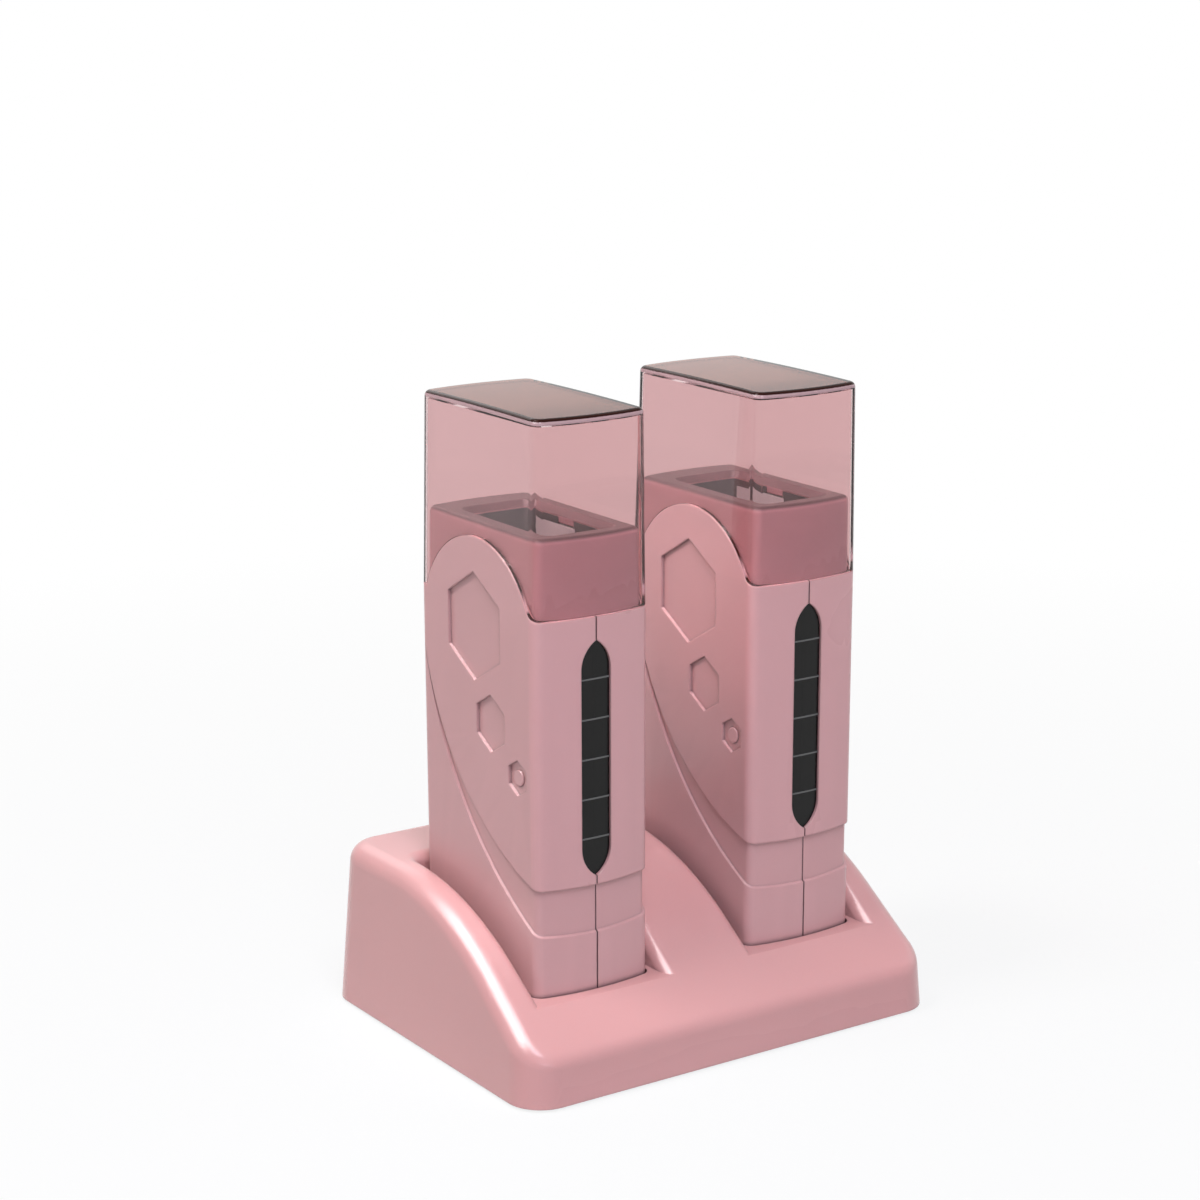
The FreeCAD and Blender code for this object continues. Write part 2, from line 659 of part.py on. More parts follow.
def rim_edges(inset):
    """Picks the edges all round the top of a sloped block that is moved in by inset."""
    def wanted(edge):
        ends = [edge.valueAt(edge.FirstParameter), edge.valueAt(edge.LastParameter)]
        for place in ends + [middle_of(edge)]:
            inward = number(inset) + place.z * math.tan(math.radians(number("base_draft")))
            side_gap = number(f"{BASE_WIDTH}/2") - inward - abs(place.x)
            face_gap = number("base_depth/2") - inward - abs(place.y)
            if min(side_gap, face_gap) > number("base_corner_radius") * 0.35:
                return False
        return middle_of(edge).z > 3.0 and not runs_up(edge, lean=12.0)
    return wanted


def sloped_block(name, inset, edge_radius):
    """The whole base as a solid, moved in by inset, with its top edges rounded."""
    owner = new_body(name)
    base_block(owner, name, inset, "0", f"base_height - ({inset})")
    side = sketch(owner, f"{name}_side", "YZ_Plane", [slope_outline(inset)])
    pocket(owner, f"{name}_slope", side, symmetric=True)
    fillet(owner, f"{name}_rim", edge_radius, rim_edges(inset))
    return owner


def cut_slots(owner, grow):
    """Cuts the slots, open to the front, grown on all sides by grow."""
    for side, centre in DOCKS:
        section = sketch(owner, f"{owner.Name}_{side}_slot_section", "XZ_Plane",
                         [slot_outline(centre, grow)], lift=f"-({SLOT_REAR} + ({grow}))")
        pocket(owner, f"{owner.Name}_{side}_slot", section, "2*base_depth", reverse=True)


def cut_docks(owner, grow, outline):
    """Cuts a heater's outline into the slots' floors, grow below the docks' floors."""
    for side, centre in DOCKS:
        plan = moved(outline, centre, "-heater_forward")
        foot = sketch(owner, f"{owner.Name}_{side}_dock_plan", "XY_Plane", [plan],
                      lift=f"dock_floor - ({grow})")
        pocket(owner, f"{owner.Name}_{side}_dock", foot, "base_height", reverse=True)


def slot_rear_corner(edge):
    """Picks the near upright edges at the back of the slots."""
    place = middle_of(edge)
    return (runs_up(edge, lean=8.0) and abs(place.y - number(SLOT_REAR)) < 0.5
            and place.z > number("slot_floor"))


def slot_top_edge(edge):
    """Picks the edges where the slots' walls and round corners meet the base's top."""
    place = middle_of(edge)
    chord = edge.valueAt(edge.LastParameter) - edge.valueAt(edge.FirstParameter)
    straight = chord.Length > edge.Length - 1e-4
    offsets = [abs(place.x - number(centre)) for side, centre in DOCKS]
    from_wall = min(abs(offset - number("slot_width/2")) for offset in offsets)
    near = number("slot_corner_radius")
    on_top = abs(place.z - number("base_height")) < 0.1
    on_wall = from_wall < number("slot_flare") + 0.2 and place.y < number(SLOT_REAR)
    on_rear = abs(place.y - number(SLOT_REAR)) < 0.1 and min(offsets) < number("slot_width/2")
    on_corner = (on_top and not straight and from_wall < near
                 and number(SLOT_REAR) - near < place.y < number(SLOT_REAR))
    above_floor = place.z > number("slot_floor") + 0.1
    return above_floor and not runs_up(edge, lean=8.0) and (on_wall or on_rear or on_corner)


def base_bosses():
    """Centres of the screw bosses in the base."""
    side, end = f"({BASE_WIDTH}/2 - boss_inset_x)", "(base_depth/2 - boss_inset_y)"
    return [(f"-{side}", f"-{end}"), (side, f"-{end}"), (side, end), (f"-{side}", end),
            ("0", f"-{end}")]


def base_housing():
    """The moulded top: two slots with a dock in each, hollow below, with screw bosses."""
    outer = sloped_block("housing_outer", "0", "base_edge_radius")
    cut_slots(outer, "0")
    fillet(outer, "housing_slot_corners", "slot_corner_radius", slot_rear_corner)
    fillet(outer, "housing_slot_edges", "slot_edge_radius", slot_top_edge)
    cut_docks(outer, "0", rounded_plan_outline("-dock_clearance",
                                               "(heater_corner_radius + dock_clearance)"))
    noses = [stadium("nose_width + 2*fit_gap", "nose_length + 2*fit_gap", centre,
                     "-heater_forward") for side, centre in DOCKS]
    ways = sketch(outer, "housing_nose_holes", "XY_Plane", noses, lift="slot_floor")
    pocket(outer, "housing_noses", ways)
    hole = centred_box("inlet_width + 2*fit_gap", "inlet_height + 2*fit_gap",
                       "0", "inlet_centre")
    back = sketch(outer, "housing_inlet_hole", "XZ_Plane", [hole], lift="-base_depth")
    pocket(outer, "housing_inlet", back, "base_depth/2 + 4*base_wall", reverse=True)
    pilots = [("circle", centre, "screw_radius + fit_gap") for centre in base_bosses()]
    holes = sketch(outer, "housing_pilot_holes", "XY_Plane", pilots, lift="screw_seat_depth")
    pocket(outer, "housing_pilots", holes, "base_screw_length + screw_spare", reverse=True)

    core = sloped_block("housing_core", "base_wall", "base_edge_radius - base_wall")
    cut_slots(core, "base_wall")
    cut_docks(core, "base_wall", plan_outline("-(dock_clearance + base_wall)"))
    posts = [("circle", centre, "boss_radius") for centre in base_bosses()]
    bosses = sketch(core, "core_boss_plan", "XY_Plane", posts, lift="plate_thick")
    pocket(core, "core_bosses", bosses, reverse=True)
    return cut("housing", outer, core)


def foot_centres():
    side, end = f"({BASE_WIDTH}/2 - foot_inset_x)", "(base_depth/2 - foot_inset_y)"
    return [(f"-{side}", f"-{end}"), (side, f"-{end}"), (side, end), (f"-{side}", end)]


def base_plate():
    """The cover under the base, with seats for feet and screws and props for the contacts."""
    owner = new_body("plate")
    base_block(owner, "plate", "base_wall + plate_gap", "0", "plate_thick")
    prop_y = "(nose_length/2 + connector_margin - prop_length/2)"
    props = [centred_box("nose_width", "prop_length", centre,
                         f"{end}*{prop_y} - heater_forward")
             for side, centre in DOCKS for end in (-1, 1)]
    top = sketch(owner, "plate_prop_plan", "XY_Plane", props, lift="plate_thick")
    pad(owner, "plate_props", top, f"{CONNECTOR_FOOT} - plate_thick - fit_gap")
    under_inlet = centred_box("inlet_well_width", "prop_length", "0",
                              f"{INLET_FACE} - inlet_length/2")
    shelf = sketch(owner, "plate_shelf_plan", "XY_Plane", [under_inlet], lift="plate_thick")
    pad(owner, "plate_shelf", shelf, "inlet_centre - inlet_height/2 - plate_thick - fit_gap")
    for name, radius, depth, centres in (
            ("heads", "screw_head_radius + head_gap", "screw_seat_depth", base_bosses()),
            ("threads", "screw_radius + fit_gap", "plate_thick", base_bosses()),
            ("feet", "foot_radius + fit_gap", "foot_recess", foot_centres())):
        rounds = [("circle", centre, radius) for centre in centres]
        holes = sketch(owner, f"plate_{name}_plan", "XY_Plane", rounds)
        pocket(owner, f"plate_{name}", holes, depth, reverse=True)
    return owner


# ---------------------------------------------------------------- plain shapes

def at_place(piece, x, y, z, rotation=None):
    """Turns a shape, then ties its place to three formulas."""
    if rotation is not None:
        piece.Placement = Placement(Vector(0, 0, 0), rotation)
    for axis, formula in (("x", x), ("y", y), ("z", z)):
        piece.setExpression(f"Placement.Base.{axis}", link(f"1*({formula})"))
    return piece


def cylinder(name, radius, height, x="0", y="0", z="0", rotation=None):
    """A round bar that starts at a place and runs up, or along the turned axis."""
    bar = doc.addObject("Part::Cylinder", name)
    bar.setExpression("Radius", link(f"1*({radius})"))
    bar.setExpression("Height", link(f"1*({height})"))
    return at_place(bar, x, y, z, rotation)


def block(name, size, low):
    """A box by its size and its low corner."""
    box = doc.addObject("Part::Box", name)
    for side, formula in zip(("Length", "Width", "Height"), size):
        box.setExpression(side, link(f"1*({formula})"))
    return at_place(box, *low)


def screw(name, length, x, y, z, rotation=None):
    """A pan-head screw with a cross-shaped drive; the head's seat is at the given place."""
    owner = new_body(name)
    outline = [("0", "-screw_head_height"), ("screw_head_radius*0.7", "-screw_head_height"),
               ("screw_head_radius", "-screw_head_height*0.5"), ("screw_head_radius", "0"),
               ("screw_radius", "0"), ("screw_radius", f"{length} - screw_radius"),
               ("screw_radius*0.3", length), ("0", length)]
    side = sketch(owner, f"{name}_side", "XZ_Plane", [outline])
    turned = owner.newObject("PartDesign::Revolution", f"{name}_turned")
    turned.Profile = side
    turned.ReferenceAxis = (side, ["V_Axis"])
    turned.Angle = 360
    settle(owner)
    wide, narrow = "screw_head_radius*1.1", "screw_head_radius*0.25"
    for arm, (width, reach) in enumerate(((wide, narrow), (narrow, wide))):
        slot = sketch(owner, f"{name}_drive_{arm}", "XY_Plane", [centred_box(width, reach)],
                      lift="-screw_head_height")
        pocket(owner, f"{name}_recess_{arm}", slot, "screw_head_height*0.6", reverse=True)
    return at_place(owner, x, y, z, rotation)


def tube(name, points):
    """An insulated wire: straight runs joined by tangent arcs."""
    radius = number("wire_radius")
    places = [Vector(*(number(value) for value in point)) for point in points]
    edges, start = [], places[0]
    for before, here, after in zip(places, places[1:], places[2:]):
        arriving, leaving = (here - before).normalize(), (after - here).normalize()
        half_turn = arriving.getAngle(leaving) / 2
        shorter = min((here - before).Length, (after - here).Length)
        setback = min(shorter * 0.45, number("wire_bend") * math.tan(half_turn))
        bend = setback / math.tan(half_turn)
        inward = (leaving - arriving).normalize()
        first, last = here - arriving * setback, here + leaving * setback
        crest = here + inward * (bend / math.cos(half_turn) - bend)
        edges.append(Part.LineSegment(start, first).toShape())
        edges.append(Part.Arc(first, crest, last).toShape())
        start = last
    edges.append(Part.LineSegment(start, places[-1]).toShape())
    path = Part.Wire(edges)
    circle = Part.Circle(places[0], places[1] - places[0], radius).toShape()
    shape = path.makePipeShell([Part.Wire(circle)], True, False)
    expected = math.pi * radius ** 2 * path.Length
    if abs(shape.Volume - expected) > 0.01 * expected:
        raise RuntimeError(f"{name}: swept volume {shape.Volume}, expected {expected}")
    feature = doc.addObject("Part::Feature", name)
    feature.Shape = shape
    return feature


# ---------------------------------------------------------------- power into the base

PINS = (("front", "(-pin_pitch/2)"), ("rear", "(pin_pitch/2)"))


def dock_connector():
    """The insulating nose that stands up in a dock, with its flange under the dock's floor."""
    owner = new_body("connector")
    flange = sketch(owner, "connector_flange_plan", "XY_Plane",
                    [centred_box("nose_width + 2*connector_margin",
                                 "nose_length + 2*connector_margin")], lift=CONNECTOR_FOOT)
    pad(owner, "connector_flange_pad", flange, "connector_flange")
    nose = sketch(owner, "connector_nose_plan", "XY_Plane",
                  [stadium("nose_width", "nose_length")], lift=CONNECTOR_FOOT)
    pad(owner, "connector_nose_pad", nose, f"dock_floor + nose_height - {CONNECTOR_FOOT}")
    bores = [("circle", ("0", y), f"{CONTACT_RADIUS} + fit_gap") for place, y in PINS]
    holes = sketch(owner, "connector_bore_plan", "XY_Plane", bores, lift=CONNECTOR_FOOT)
    pocket(owner, "connector_bores", holes, reverse=True)
    return [owner]


def dock_contacts():
    """Two sleeves that take the heater's pins."""
    sleeves = []
    foot = f"({CONNECTOR_FOOT} - contact_tail)"
    for place, y in PINS:
        owner = new_body(f"{place}_contact")
        outside = sketch(owner, f"{place}_contact_plan", "XY_Plane",
                         [("circle", ("0", y), CONTACT_RADIUS)], lift=foot)
        pad(owner, f"{place}_contact_barrel", outside,
            f"dock_floor + nose_height - contact_set_in - {foot}")
        inside = sketch(owner, f"{place}_contact_bore_plan", "XY_Plane",
                        [("circle", ("0", y), "pin_radius + pin_gap")], lift="dock_floor")
        pocket(owner, f"{place}_contact_bore", inside, reverse=True)
        sleeves.append(owner)
    return sleeves


def power_inlet():
    """The two-pin inlet in the back wall, held by a flange inside."""
    owner = new_body("inlet")
    face = sketch(owner, "inlet_face", "XZ_Plane",
                  [centred_box("inlet_width", "inlet_height", "0", "inlet_centre")],
                  lift=f"-{INLET_FACE}")
    pad(owner, "inlet_block", face, "inlet_length")
    flange = sketch(owner, "inlet_flange_face", "XZ_Plane",
                    [centred_box("inlet_width + 2*inlet_flange",
                                 "inlet_height + 2*inlet_flange", "0", "inlet_centre")],
                    lift=f"-{INLET_SEAT}")
    pad(owner, "inlet_flange_pad", flange, "inlet_flange")
    well = sketch(owner, "inlet_well_face", "XZ_Plane",
                  [stadium("inlet_well_height", "inlet_well_width", "0", "inlet_centre",
                           along_x=True)], lift=f"-{INLET_FACE}")
    pocket(owner, "inlet_well", well, "inlet_well_depth", reverse=True)
    bores = [("circle", (x, "inlet_centre"), "pin_radius + fit_gap/2") for place, x in PINS]
    holes = sketch(owner, "inlet_bore_face", "XZ_Plane", bores, lift=f"-{INLET_FACE}")
    pocket(owner, "inlet_bores", holes, reverse=True)
    return owner


def power_inlet_pins():
    forward = Rotation(Vector(1, 0, 0), 90)
    return [cylinder(f"inlet_{place}_pin", "pin_radius",
                     "inlet_length + pin_tail - pin_set_in", x,
                     f"{INLET_FACE} - pin_set_in", "inlet_centre", forward)
            for place, x in PINS]


def supply_wires():
    """Two rails that link the docks, and a lead from each inlet pin to its rail."""
    level = "(plate_thick + wire_radius + wire_lift)"
    over = f"({level} + 4*wire_radius)"
    tail = f"({INLET_FACE} - inlet_length - pin_tail)"
    reach = f"(heater_pitch/2 + {CONTACT_RADIUS})"
    wires = [tube(f"{place}_rail", [(f"-{reach}", f"{y} - heater_forward", level),
                                    (reach, f"{y} - heater_forward", level)])
             for place, y in PINS]
    front_rail, rear_rail = (f"({y} - heater_forward)" for place, y in PINS)
    near_tail, low_start = f"({tail} - inlet_length*0.7)", f"({tail} - inlet_length*1.6)"
    left, right = (x for place, x in PINS)
    wires.append(tube("rear_lead", [
        (left, tail, "inlet_centre"), (left, near_tail, "inlet_centre"),
        (left, low_start, level), (left, f"{rear_rail} + wire_radius", level)]))
    wires.append(tube("front_lead", [
        (right, tail, "inlet_centre"), (right, near_tail, "inlet_centre"),
        (right, low_start, over), (right, front_rail, over),
        (right, front_rail, f"{level} + wire_radius")]))
    return wires


# ---------------------------------------------------------------- heater shells

def band():
    """The recessed band: a skin of the heater's outline between two arcs seen from the side."""
    skin = new_body("band_skin")
    around = sketch(skin, "band_outside_plan", "XY_Plane",
                    [centred_box("heater_width + 2*shell_wall", "1.5*heater_depth")])
    pad(skin, "band_outside", around, "cap_top")
    within = sketch(skin, "band_inside_plan", "XY_Plane", [plan_outline("band_depth")])
    pocket(skin, "band_inside", within, reverse=True)
    corner = number(half_width("band_depth"))
    fillet(skin, "band_corners", "heater_corner_radius - band_depth",
           lambda edge: runs_up(edge) and abs(abs(middle_of(edge).x) - corner) < 0.01)

    near, tip = "(-heater_depth/2 - 2*face_bow)", ("(heater_depth/2)", "band_tip_z")
    strip = new_body("band_strip")
    side = sketch(strip, "band_side", "YZ_Plane",
                  [[(near, "lip_front_z", "lip_radius", "left"),
                    tip + ("skirt_radius", "right"), (near, "skirt_front_z")]])
    pad(strip, "band_strip_pad", side, "3*heater_width", symmetric=True)
    return common("band", skin, strip)


def shell_half(hand, recess):
    """One half of a heater's shell. hand is -1 for the key side and 1 for the plain side."""
    name = "key_shell" if hand < 0 else "plain_shell"
    owner = new_body(name)
    inside = number(half_width("shell_wall"))
    plan = sketch(owner, f"{name}_plan", "XY_Plane",
                  [half_plan_outline(hand, "0", "fit_gap/2")], lift=HEATER_FOOT)
    pad(owner, f"{name}_block", plan, f"{SHELL_TOP} + heater_corner_radius - {HEATER_FOOT}")
    fillet(owner, f"{name}_corners", "heater_corner_radius",
           corners_at(number(half_width("0"))))
    hollow = sketch(owner, f"{name}_hollow_plan", "XY_Plane",
                    [half_plan_outline(hand, "shell_wall", "-shell_wall")],
                    lift=f"{HEATER_FOOT} + shell_wall")
    pocket(owner, f"{name}_hollow", hollow, reverse=True)
    fillet(owner, f"{name}_inner_corners", "heater_corner_radius - shell_wall",
           lambda edge: runs_up(edge) and abs(abs(middle_of(edge).x) - inside) < 0.01)
    above = sketch(owner, f"{name}_shoulder_side", "YZ_Plane",
                   [shoulder_outline("0", "(2*cap_top)")])
    pocket(owner, f"{name}_shoulder", above, symmetric=True)
    foot = sketch(owner, f"{name}_socket_plan", "XY_Plane",
                  [centred_box("socket_width + 2*fit_gap", "socket_length + 2*fit_gap")],
                  lift=f"{HEATER_FOOT} + shell_wall")
    pocket(owner, f"{name}_socket_hole", foot)
    window = sketch(owner, f"{name}_window_face", "XZ_Plane",
                    [half_window_outline(hand, "window_width", "window_top",
                                         "window_bottom", "window_point")])
    pocket(owner, f"{name}_window", window, reverse=True)

    ledge = sketch(owner, f"{name}_ledge_plan", "XY_Plane",
                   [centred_box(f"{half_width('shell_wall/2')} - ledge_reach", "ledge_length",
                                f"{hand}*({half_width('shell_wall/2')} + ledge_reach)/2",
                                "opening_offset")],
                   lift="well_foot - fit_gap - ledge_thick")
    pad(owner, f"{name}_ledge", ledge, "ledge_thick")
    ends = ("(-shell_screw_y)", "(shell_screw_y)")
    posts = sketch(owner, f"{name}_boss_side", "YZ_Plane",
                   [("circle", (y, "shell_screw_z"), "shell_boss_radius") for y in ends],
                   lift=f"{hand}*fit_gap/2")
    pad(owner, f"{name}_bosses", posts, half_width("shell_wall/2"), reverse=hand < 0)
    holes = sketch(owner, f"{name}_screw_side", "YZ_Plane",
                   [("circle", (y, "shell_screw_z"), "screw_radius + fit_gap") for y in ends])
    if hand > 0:
        pocket(owner, f"{name}_screw_holes", holes, reverse=True)
        heads = sketch(owner, f"{name}_head_side", "YZ_Plane",
                       [("circle", (y, "shell_screw_z"), "screw_head_radius + head_gap")
                        for y in ends], lift="shell_screw_seat")
        pocket(owner, f"{name}_head_holes", heads, reverse=True)
    else:
        pocket(owner, f"{name}_screw_holes", holes,
               "shell_screw_length - shell_screw_seat + screw_spare")
    crest = face_crest("band_depth + seam_depth")
    relief = [centred_box("2*seam_width", "heater_corner_radius", "0",
                          f"{end}*({crest} + heater_corner_radius/2)") for end in (-1, 1)]
    seam = sketch(owner, f"{name}_seam_plan", "XY_Plane", relief)
    pocket(owner, f"{name}_seam", seam, reverse=True)
    if hand < 0:
        outside = f"-{half_width('0')}"
        recesses = sketch(owner, f"{name}_hex_side", "YZ_Plane",
                          [hexagon("large_hex_radius", "large_hex_y", "large_hex_z"),
                           hexagon("middle_hex_radius", "middle_hex_y", "middle_hex_z"),
                           hexagon("small_hex_radius", "small_hex_y", "small_hex_z")],
                          lift=outside)
        pocket(owner, f"{name}_hexagons", recesses, "hex_depth", reverse=True)
        hole = sketch(owner, f"{name}_key_side", "YZ_Plane",
                      [("circle", ("small_hex_y", "small_hex_z"), "key_radius + key_gap")],
                      lift=outside)
        pocket(owner, f"{name}_key_hole", hole, "2*shell_wall", reverse=True)
    return [cut(f"{name}_banded", owner, recess)]


# ---------------------------------------------------------------- collar, cap and window

def leaning_block(name, inset, low, high, round_by):
    """A block of the heater's outline: its broad sides and its back lean in, its front doesn't."""
    owner = new_body(name)
    plan = sketch(owner, f"{name}_plan", "XY_Plane", [plan_outline(inset)], lift=low)
    pad(owner, f"{name}_pad", plan, f"({high}) - {low}")
    draft(owner, f"{name}_side_lean", "cap_side_draft", number(low),
          lambda face: face.BoundBox.XLength < 1e-3)
    draft(owner, f"{name}_back_lean", "cap_rear_draft", number(low),
          lambda face: isinstance(face.Surface, Part.Cylinder) and face.BoundBox.YMin > 0)
    fillet(owner, f"{name}_corners", round_by, corners_at(0, lean=3.0))
    return owner


def collar():
    """The upper part inside the cap, with the opening for the cartridge."""
    foot = "(shoulder_height - collar_overlap)"
    block = leaning_block("collar_block", SEAT_INSET, foot, "collar_top", "collar_corner_radius")
    top = number("collar_top") - 1e-3
    fillet(block, "collar_rim", "collar_edge_radius", lambda edge: middle_of(edge).z > top)
    opening = rounded_box("opening_width", "opening_length", "opening_corner_radius", "0",
                          "opening_offset")
    mouth = sketch(block, "collar_opening_plan", "XY_Plane", [opening], lift="collar_top")
    pocket(block, "collar_opening", mouth)
    side, end = number("opening_width/2"), number("opening_length/2")

    def opening_edge(edge):
        place = middle_of(edge)
        inside = (abs(place.x) < side + 0.01
                  and abs(place.y - number("opening_offset")) < end + 0.01)
        return place.z > top and inside

    chamfer(block, "collar_lead_in", "rim_chamfer", opening_edge)
    room = leaning_block("collar_room", f"{SEAT_INSET} + collar_wall", foot, COLLAR_UNDERSIDE,
                         "collar_corner_radius - collar_wall")
    shell = cut("collar_shell", block, room)
    catch = new_body("collar_catch")
    tab = sketch(catch, "collar_catch_plan", "XY_Plane",
                 [centred_box("catch_thick", "catch_width", "(opening_width + catch_thick)/2",
                              "catch_offset")], lift=f"{COLLAR_UNDERSIDE} - catch_depth")
    pad(catch, "collar_catch_pad", tab, "catch_depth + collar_top_thick - rim_chamfer")
    return [fuse("collar_with_catch", shell, catch)]


def cap():
    """The clear cover that lifts off, arched over the shell's broad sides."""
    bow = "((heater_depth^2 + cap_crown^2)/(2*cap_crown))"
    owner = leaning_block("cap_block", "0", "shoulder_height", "cap_top + cap_crown",
                          "heater_corner_radius")
    crown = sketch(owner, "cap_crown_side", "YZ_Plane",
                   [[("-heater_depth", f"cap_top + cap_crown - {bow} "
                      f"+ sqrt({bow}^2 - heater_depth^2)", bow, "right"),
                     ("heater_depth", f"cap_top + cap_crown - {bow} "
                      f"+ sqrt({bow}^2 - heater_depth^2)"),
                     ("heater_depth", "(2*cap_top)"), ("-heater_depth", "(2*cap_top)")]])
    pocket(owner, "cap_crown_cut", crown, symmetric=True)
    low = number("cap_top - cap_edge_radius")
    fillet(owner, "cap_top_edge", "cap_edge_radius",
           lambda edge: middle_of(edge).z > low and not runs_up(edge, lean=3.0))
    below = sketch(owner, "cap_shoulder_side", "YZ_Plane", [shoulder_outline("rest_gap", "0")])
    pocket(owner, "cap_shoulder", below, symmetric=True)
    room = leaning_block("cap_room", "cap_wall", "shoulder_height", "(cap_top - cap_wall)",
                         "heater_corner_radius - cap_wall")
    return [cut("cap_hollowed", owner, room)]


def bowed_slab(name, width, near, far, low, high):
    """A slab bowed like the front face, from near to far behind it."""
    owner = new_body(name)
    half = f"(({width})/2)"
    outline = [(f"-{half}", f"-{face_at(half, near)}", f"({BOW_RADIUS} - ({near}))", "left"),
               (half, f"-{face_at(half, near)}"),
               (half, f"-{face_at(half, far)}", f"({BOW_RADIUS} - ({far}))", "right"),
               (f"-{half}", f"-{face_at(half, far)}")]
    plan = sketch(owner, f"{name}_plan", "XY_Plane", [outline], lift=low)
    pad(owner, f"{name}_pad", plan, f"({high}) - ({low})")
    return owner


def window_lens():
    """The window: a pane in the shell's opening with a flange behind the wall."""
    back = f"({SEAT_INSET} + lens_flange_thick)"
    layers = []
    for name, grow, near in (("pane", "(-fit_gap)", "lens_set_back"),
                             ("flange", "lens_flange", SEAT_INSET)):
        width, tip = f"(window_width + 2*{grow})", f"(2*{grow})"
        low, high = f"(window_bottom - {tip})", f"(window_top + {tip})"
        slab = bowed_slab(f"lens_{name}_slab", f"(window_width + 4*lens_flange)", near, back,
                          f"{low} - lens_flange", f"{high} + lens_flange")
        prism = new_body(f"lens_{name}_prism")
        face = sketch(prism, f"lens_{name}_face", "XZ_Plane",
                      [window_outline(width, high, low, f"(window_point + {tip} - {grow})")])
        pad(prism, f"lens_{name}_pad", face, "heater_depth")
        layers.append(common(f"lens_{name}", slab, prism))
    lens = doc.addObject("Part::MultiFuse", "lens")
    lens.Shapes = layers
    lens.Refine = True
    doc.recompute()
    return [lens]


def level_marks():
    """Five bars across the window, in front of the pane."""
    marks = []
    for index in range(5):
        low = f"(mark_first - {index}*mark_step - mark_height/2)"
        marks.append(bowed_slab(f"mark_{index}", "(window_width - 2*fit_gap)",
                                "(lens_set_back - mark_proud)", "lens_set_back", low,
                                f"({low} + mark_height)"))
    return marks


# ---------------------------------------------------------------- inside a heater

WELL_SIDES = (("key", -1), ("plain", 1))


def cartridge_well():
    """The chamber for the cartridge, with a slit for the window and room for the plates."""
    owner = new_body("well")
    plan = sketch(owner, "well_plan", "XY_Plane",
                  [centred_box(f"2*{WELL_HALF}", "opening_length + 2*well_wall", "0",
                               "opening_offset")], lift="well_foot")
    pad(owner, "well_block", plan, f"{COLLAR_UNDERSIDE} - fit_gap - well_foot")
    inside = sketch(owner, "well_inside_plan", "XY_Plane",
                    [rounded_box("opening_width", "opening_length", "opening_corner_radius",
                                 "0", "opening_offset")], lift="well_foot + well_floor")
    pocket(owner, "well_inside", inside, reverse=True)
    slit = sketch(owner, "well_slit_face", "XZ_Plane",
                  [box_outline("-well_slit_width/2", "well_slit_width/2",
                               "well_foot + well_floor + well_slit_lead",
                               "window_top - well_slit_margin")])
    pocket(owner, "well_slit", slit, reverse=True)
    grown = "(heat_plate_top - heat_plate_low + 2*fit_gap)"
    plates = sketch(owner, "well_plate_side", "YZ_Plane",
                    [centred_box("heat_plate_width + 2*fit_gap", grown, "heat_plate_offset",
                                 "(heat_plate_top + heat_plate_low)/2")])
    pocket(owner, "well_plates", plates, symmetric=True)
    notch_foot = "(heat_plate_top + fit_gap)"
    notch = box_outline("catch_offset - catch_width/2 - rest_gap",
                        "catch_offset + catch_width/2 + rest_gap", notch_foot, "collar_top")
    catch = sketch(owner, "well_catch_side", "YZ_Plane", [notch])
    pocket(owner, "well_catch", catch, reverse=True)
    return [owner]


def heat_plates():
    """Two metal plates flush with the chamber's sides."""
    return [block(f"{side}_heat_plate",
                  ("well_wall", "heat_plate_width", "heat_plate_top - heat_plate_low"),
                  (f"{hand}*(opening_width + well_wall)/2 - well_wall/2",
                   "heat_plate_offset - heat_plate_width/2", "heat_plate_low"))
            for side, hand in WELL_SIDES]


def heating_elements():
    """A flat heater against the back of each plate, with bevelled edges."""
    elements = []
    for side, hand in WELL_SIDES:
        owner = new_body(f"{side}_element")
        face = sketch(owner, f"{side}_element_side", "YZ_Plane",
                      [centred_box("element_width", "element_height", "heat_plate_offset",
                                   "element_low + element_height/2")],
                      lift=f"{hand}*{WELL_HALF}")
        pad(owner, f"{side}_element_pad", face, "element_thick", reverse=hand < 0)
        outer = number(f"{WELL_HALF} + element_thick")
        chamfer(owner, f"{side}_element_bevel", "clip_thick",
                lambda edge: abs(abs(middle_of(edge).x) - outer) < 0.01)
        elements.append(owner)
    return elements


def element_clips():
    """A spring strip bent over each heating element, its feet on the heat plate."""
    clips = []
    for side, hand in WELL_SIDES:
        owner = new_body(f"{side}_clip")
        face, outer = WELL_HALF, f"({WELL_HALF} + element_thick)"
        leg, foot = "(element_width/2 + fit_gap)", "(element_width/2 + clip_foot)"
        profile = [(foot, face), (foot, f"{face} + clip_thick"),
                   (f"{leg} + clip_thick", f"{face} + clip_thick"),
                   (f"{leg} + clip_thick", f"{outer} + clip_thick"),
                   (f"-{leg} - clip_thick", f"{outer} + clip_thick"),
                   (f"-{leg} - clip_thick", f"{face} + clip_thick"),
                   (f"-{foot}", f"{face} + clip_thick"), (f"-{foot}", face),
                   (f"-{leg}", face), (f"-{leg}", outer), (leg, outer), (leg, face)]
        outline = [(f"{hand}*({out})", f"heat_plate_offset + {along}")
                   for along, out in profile]
        plan = sketch(owner, f"{side}_clip_plan", "XY_Plane", [outline],
                      lift="element_low + (element_height - clip_height)/2")
        pad(owner, f"{side}_clip_pad", plan, "clip_height")
        clips.append(owner)
    return clips


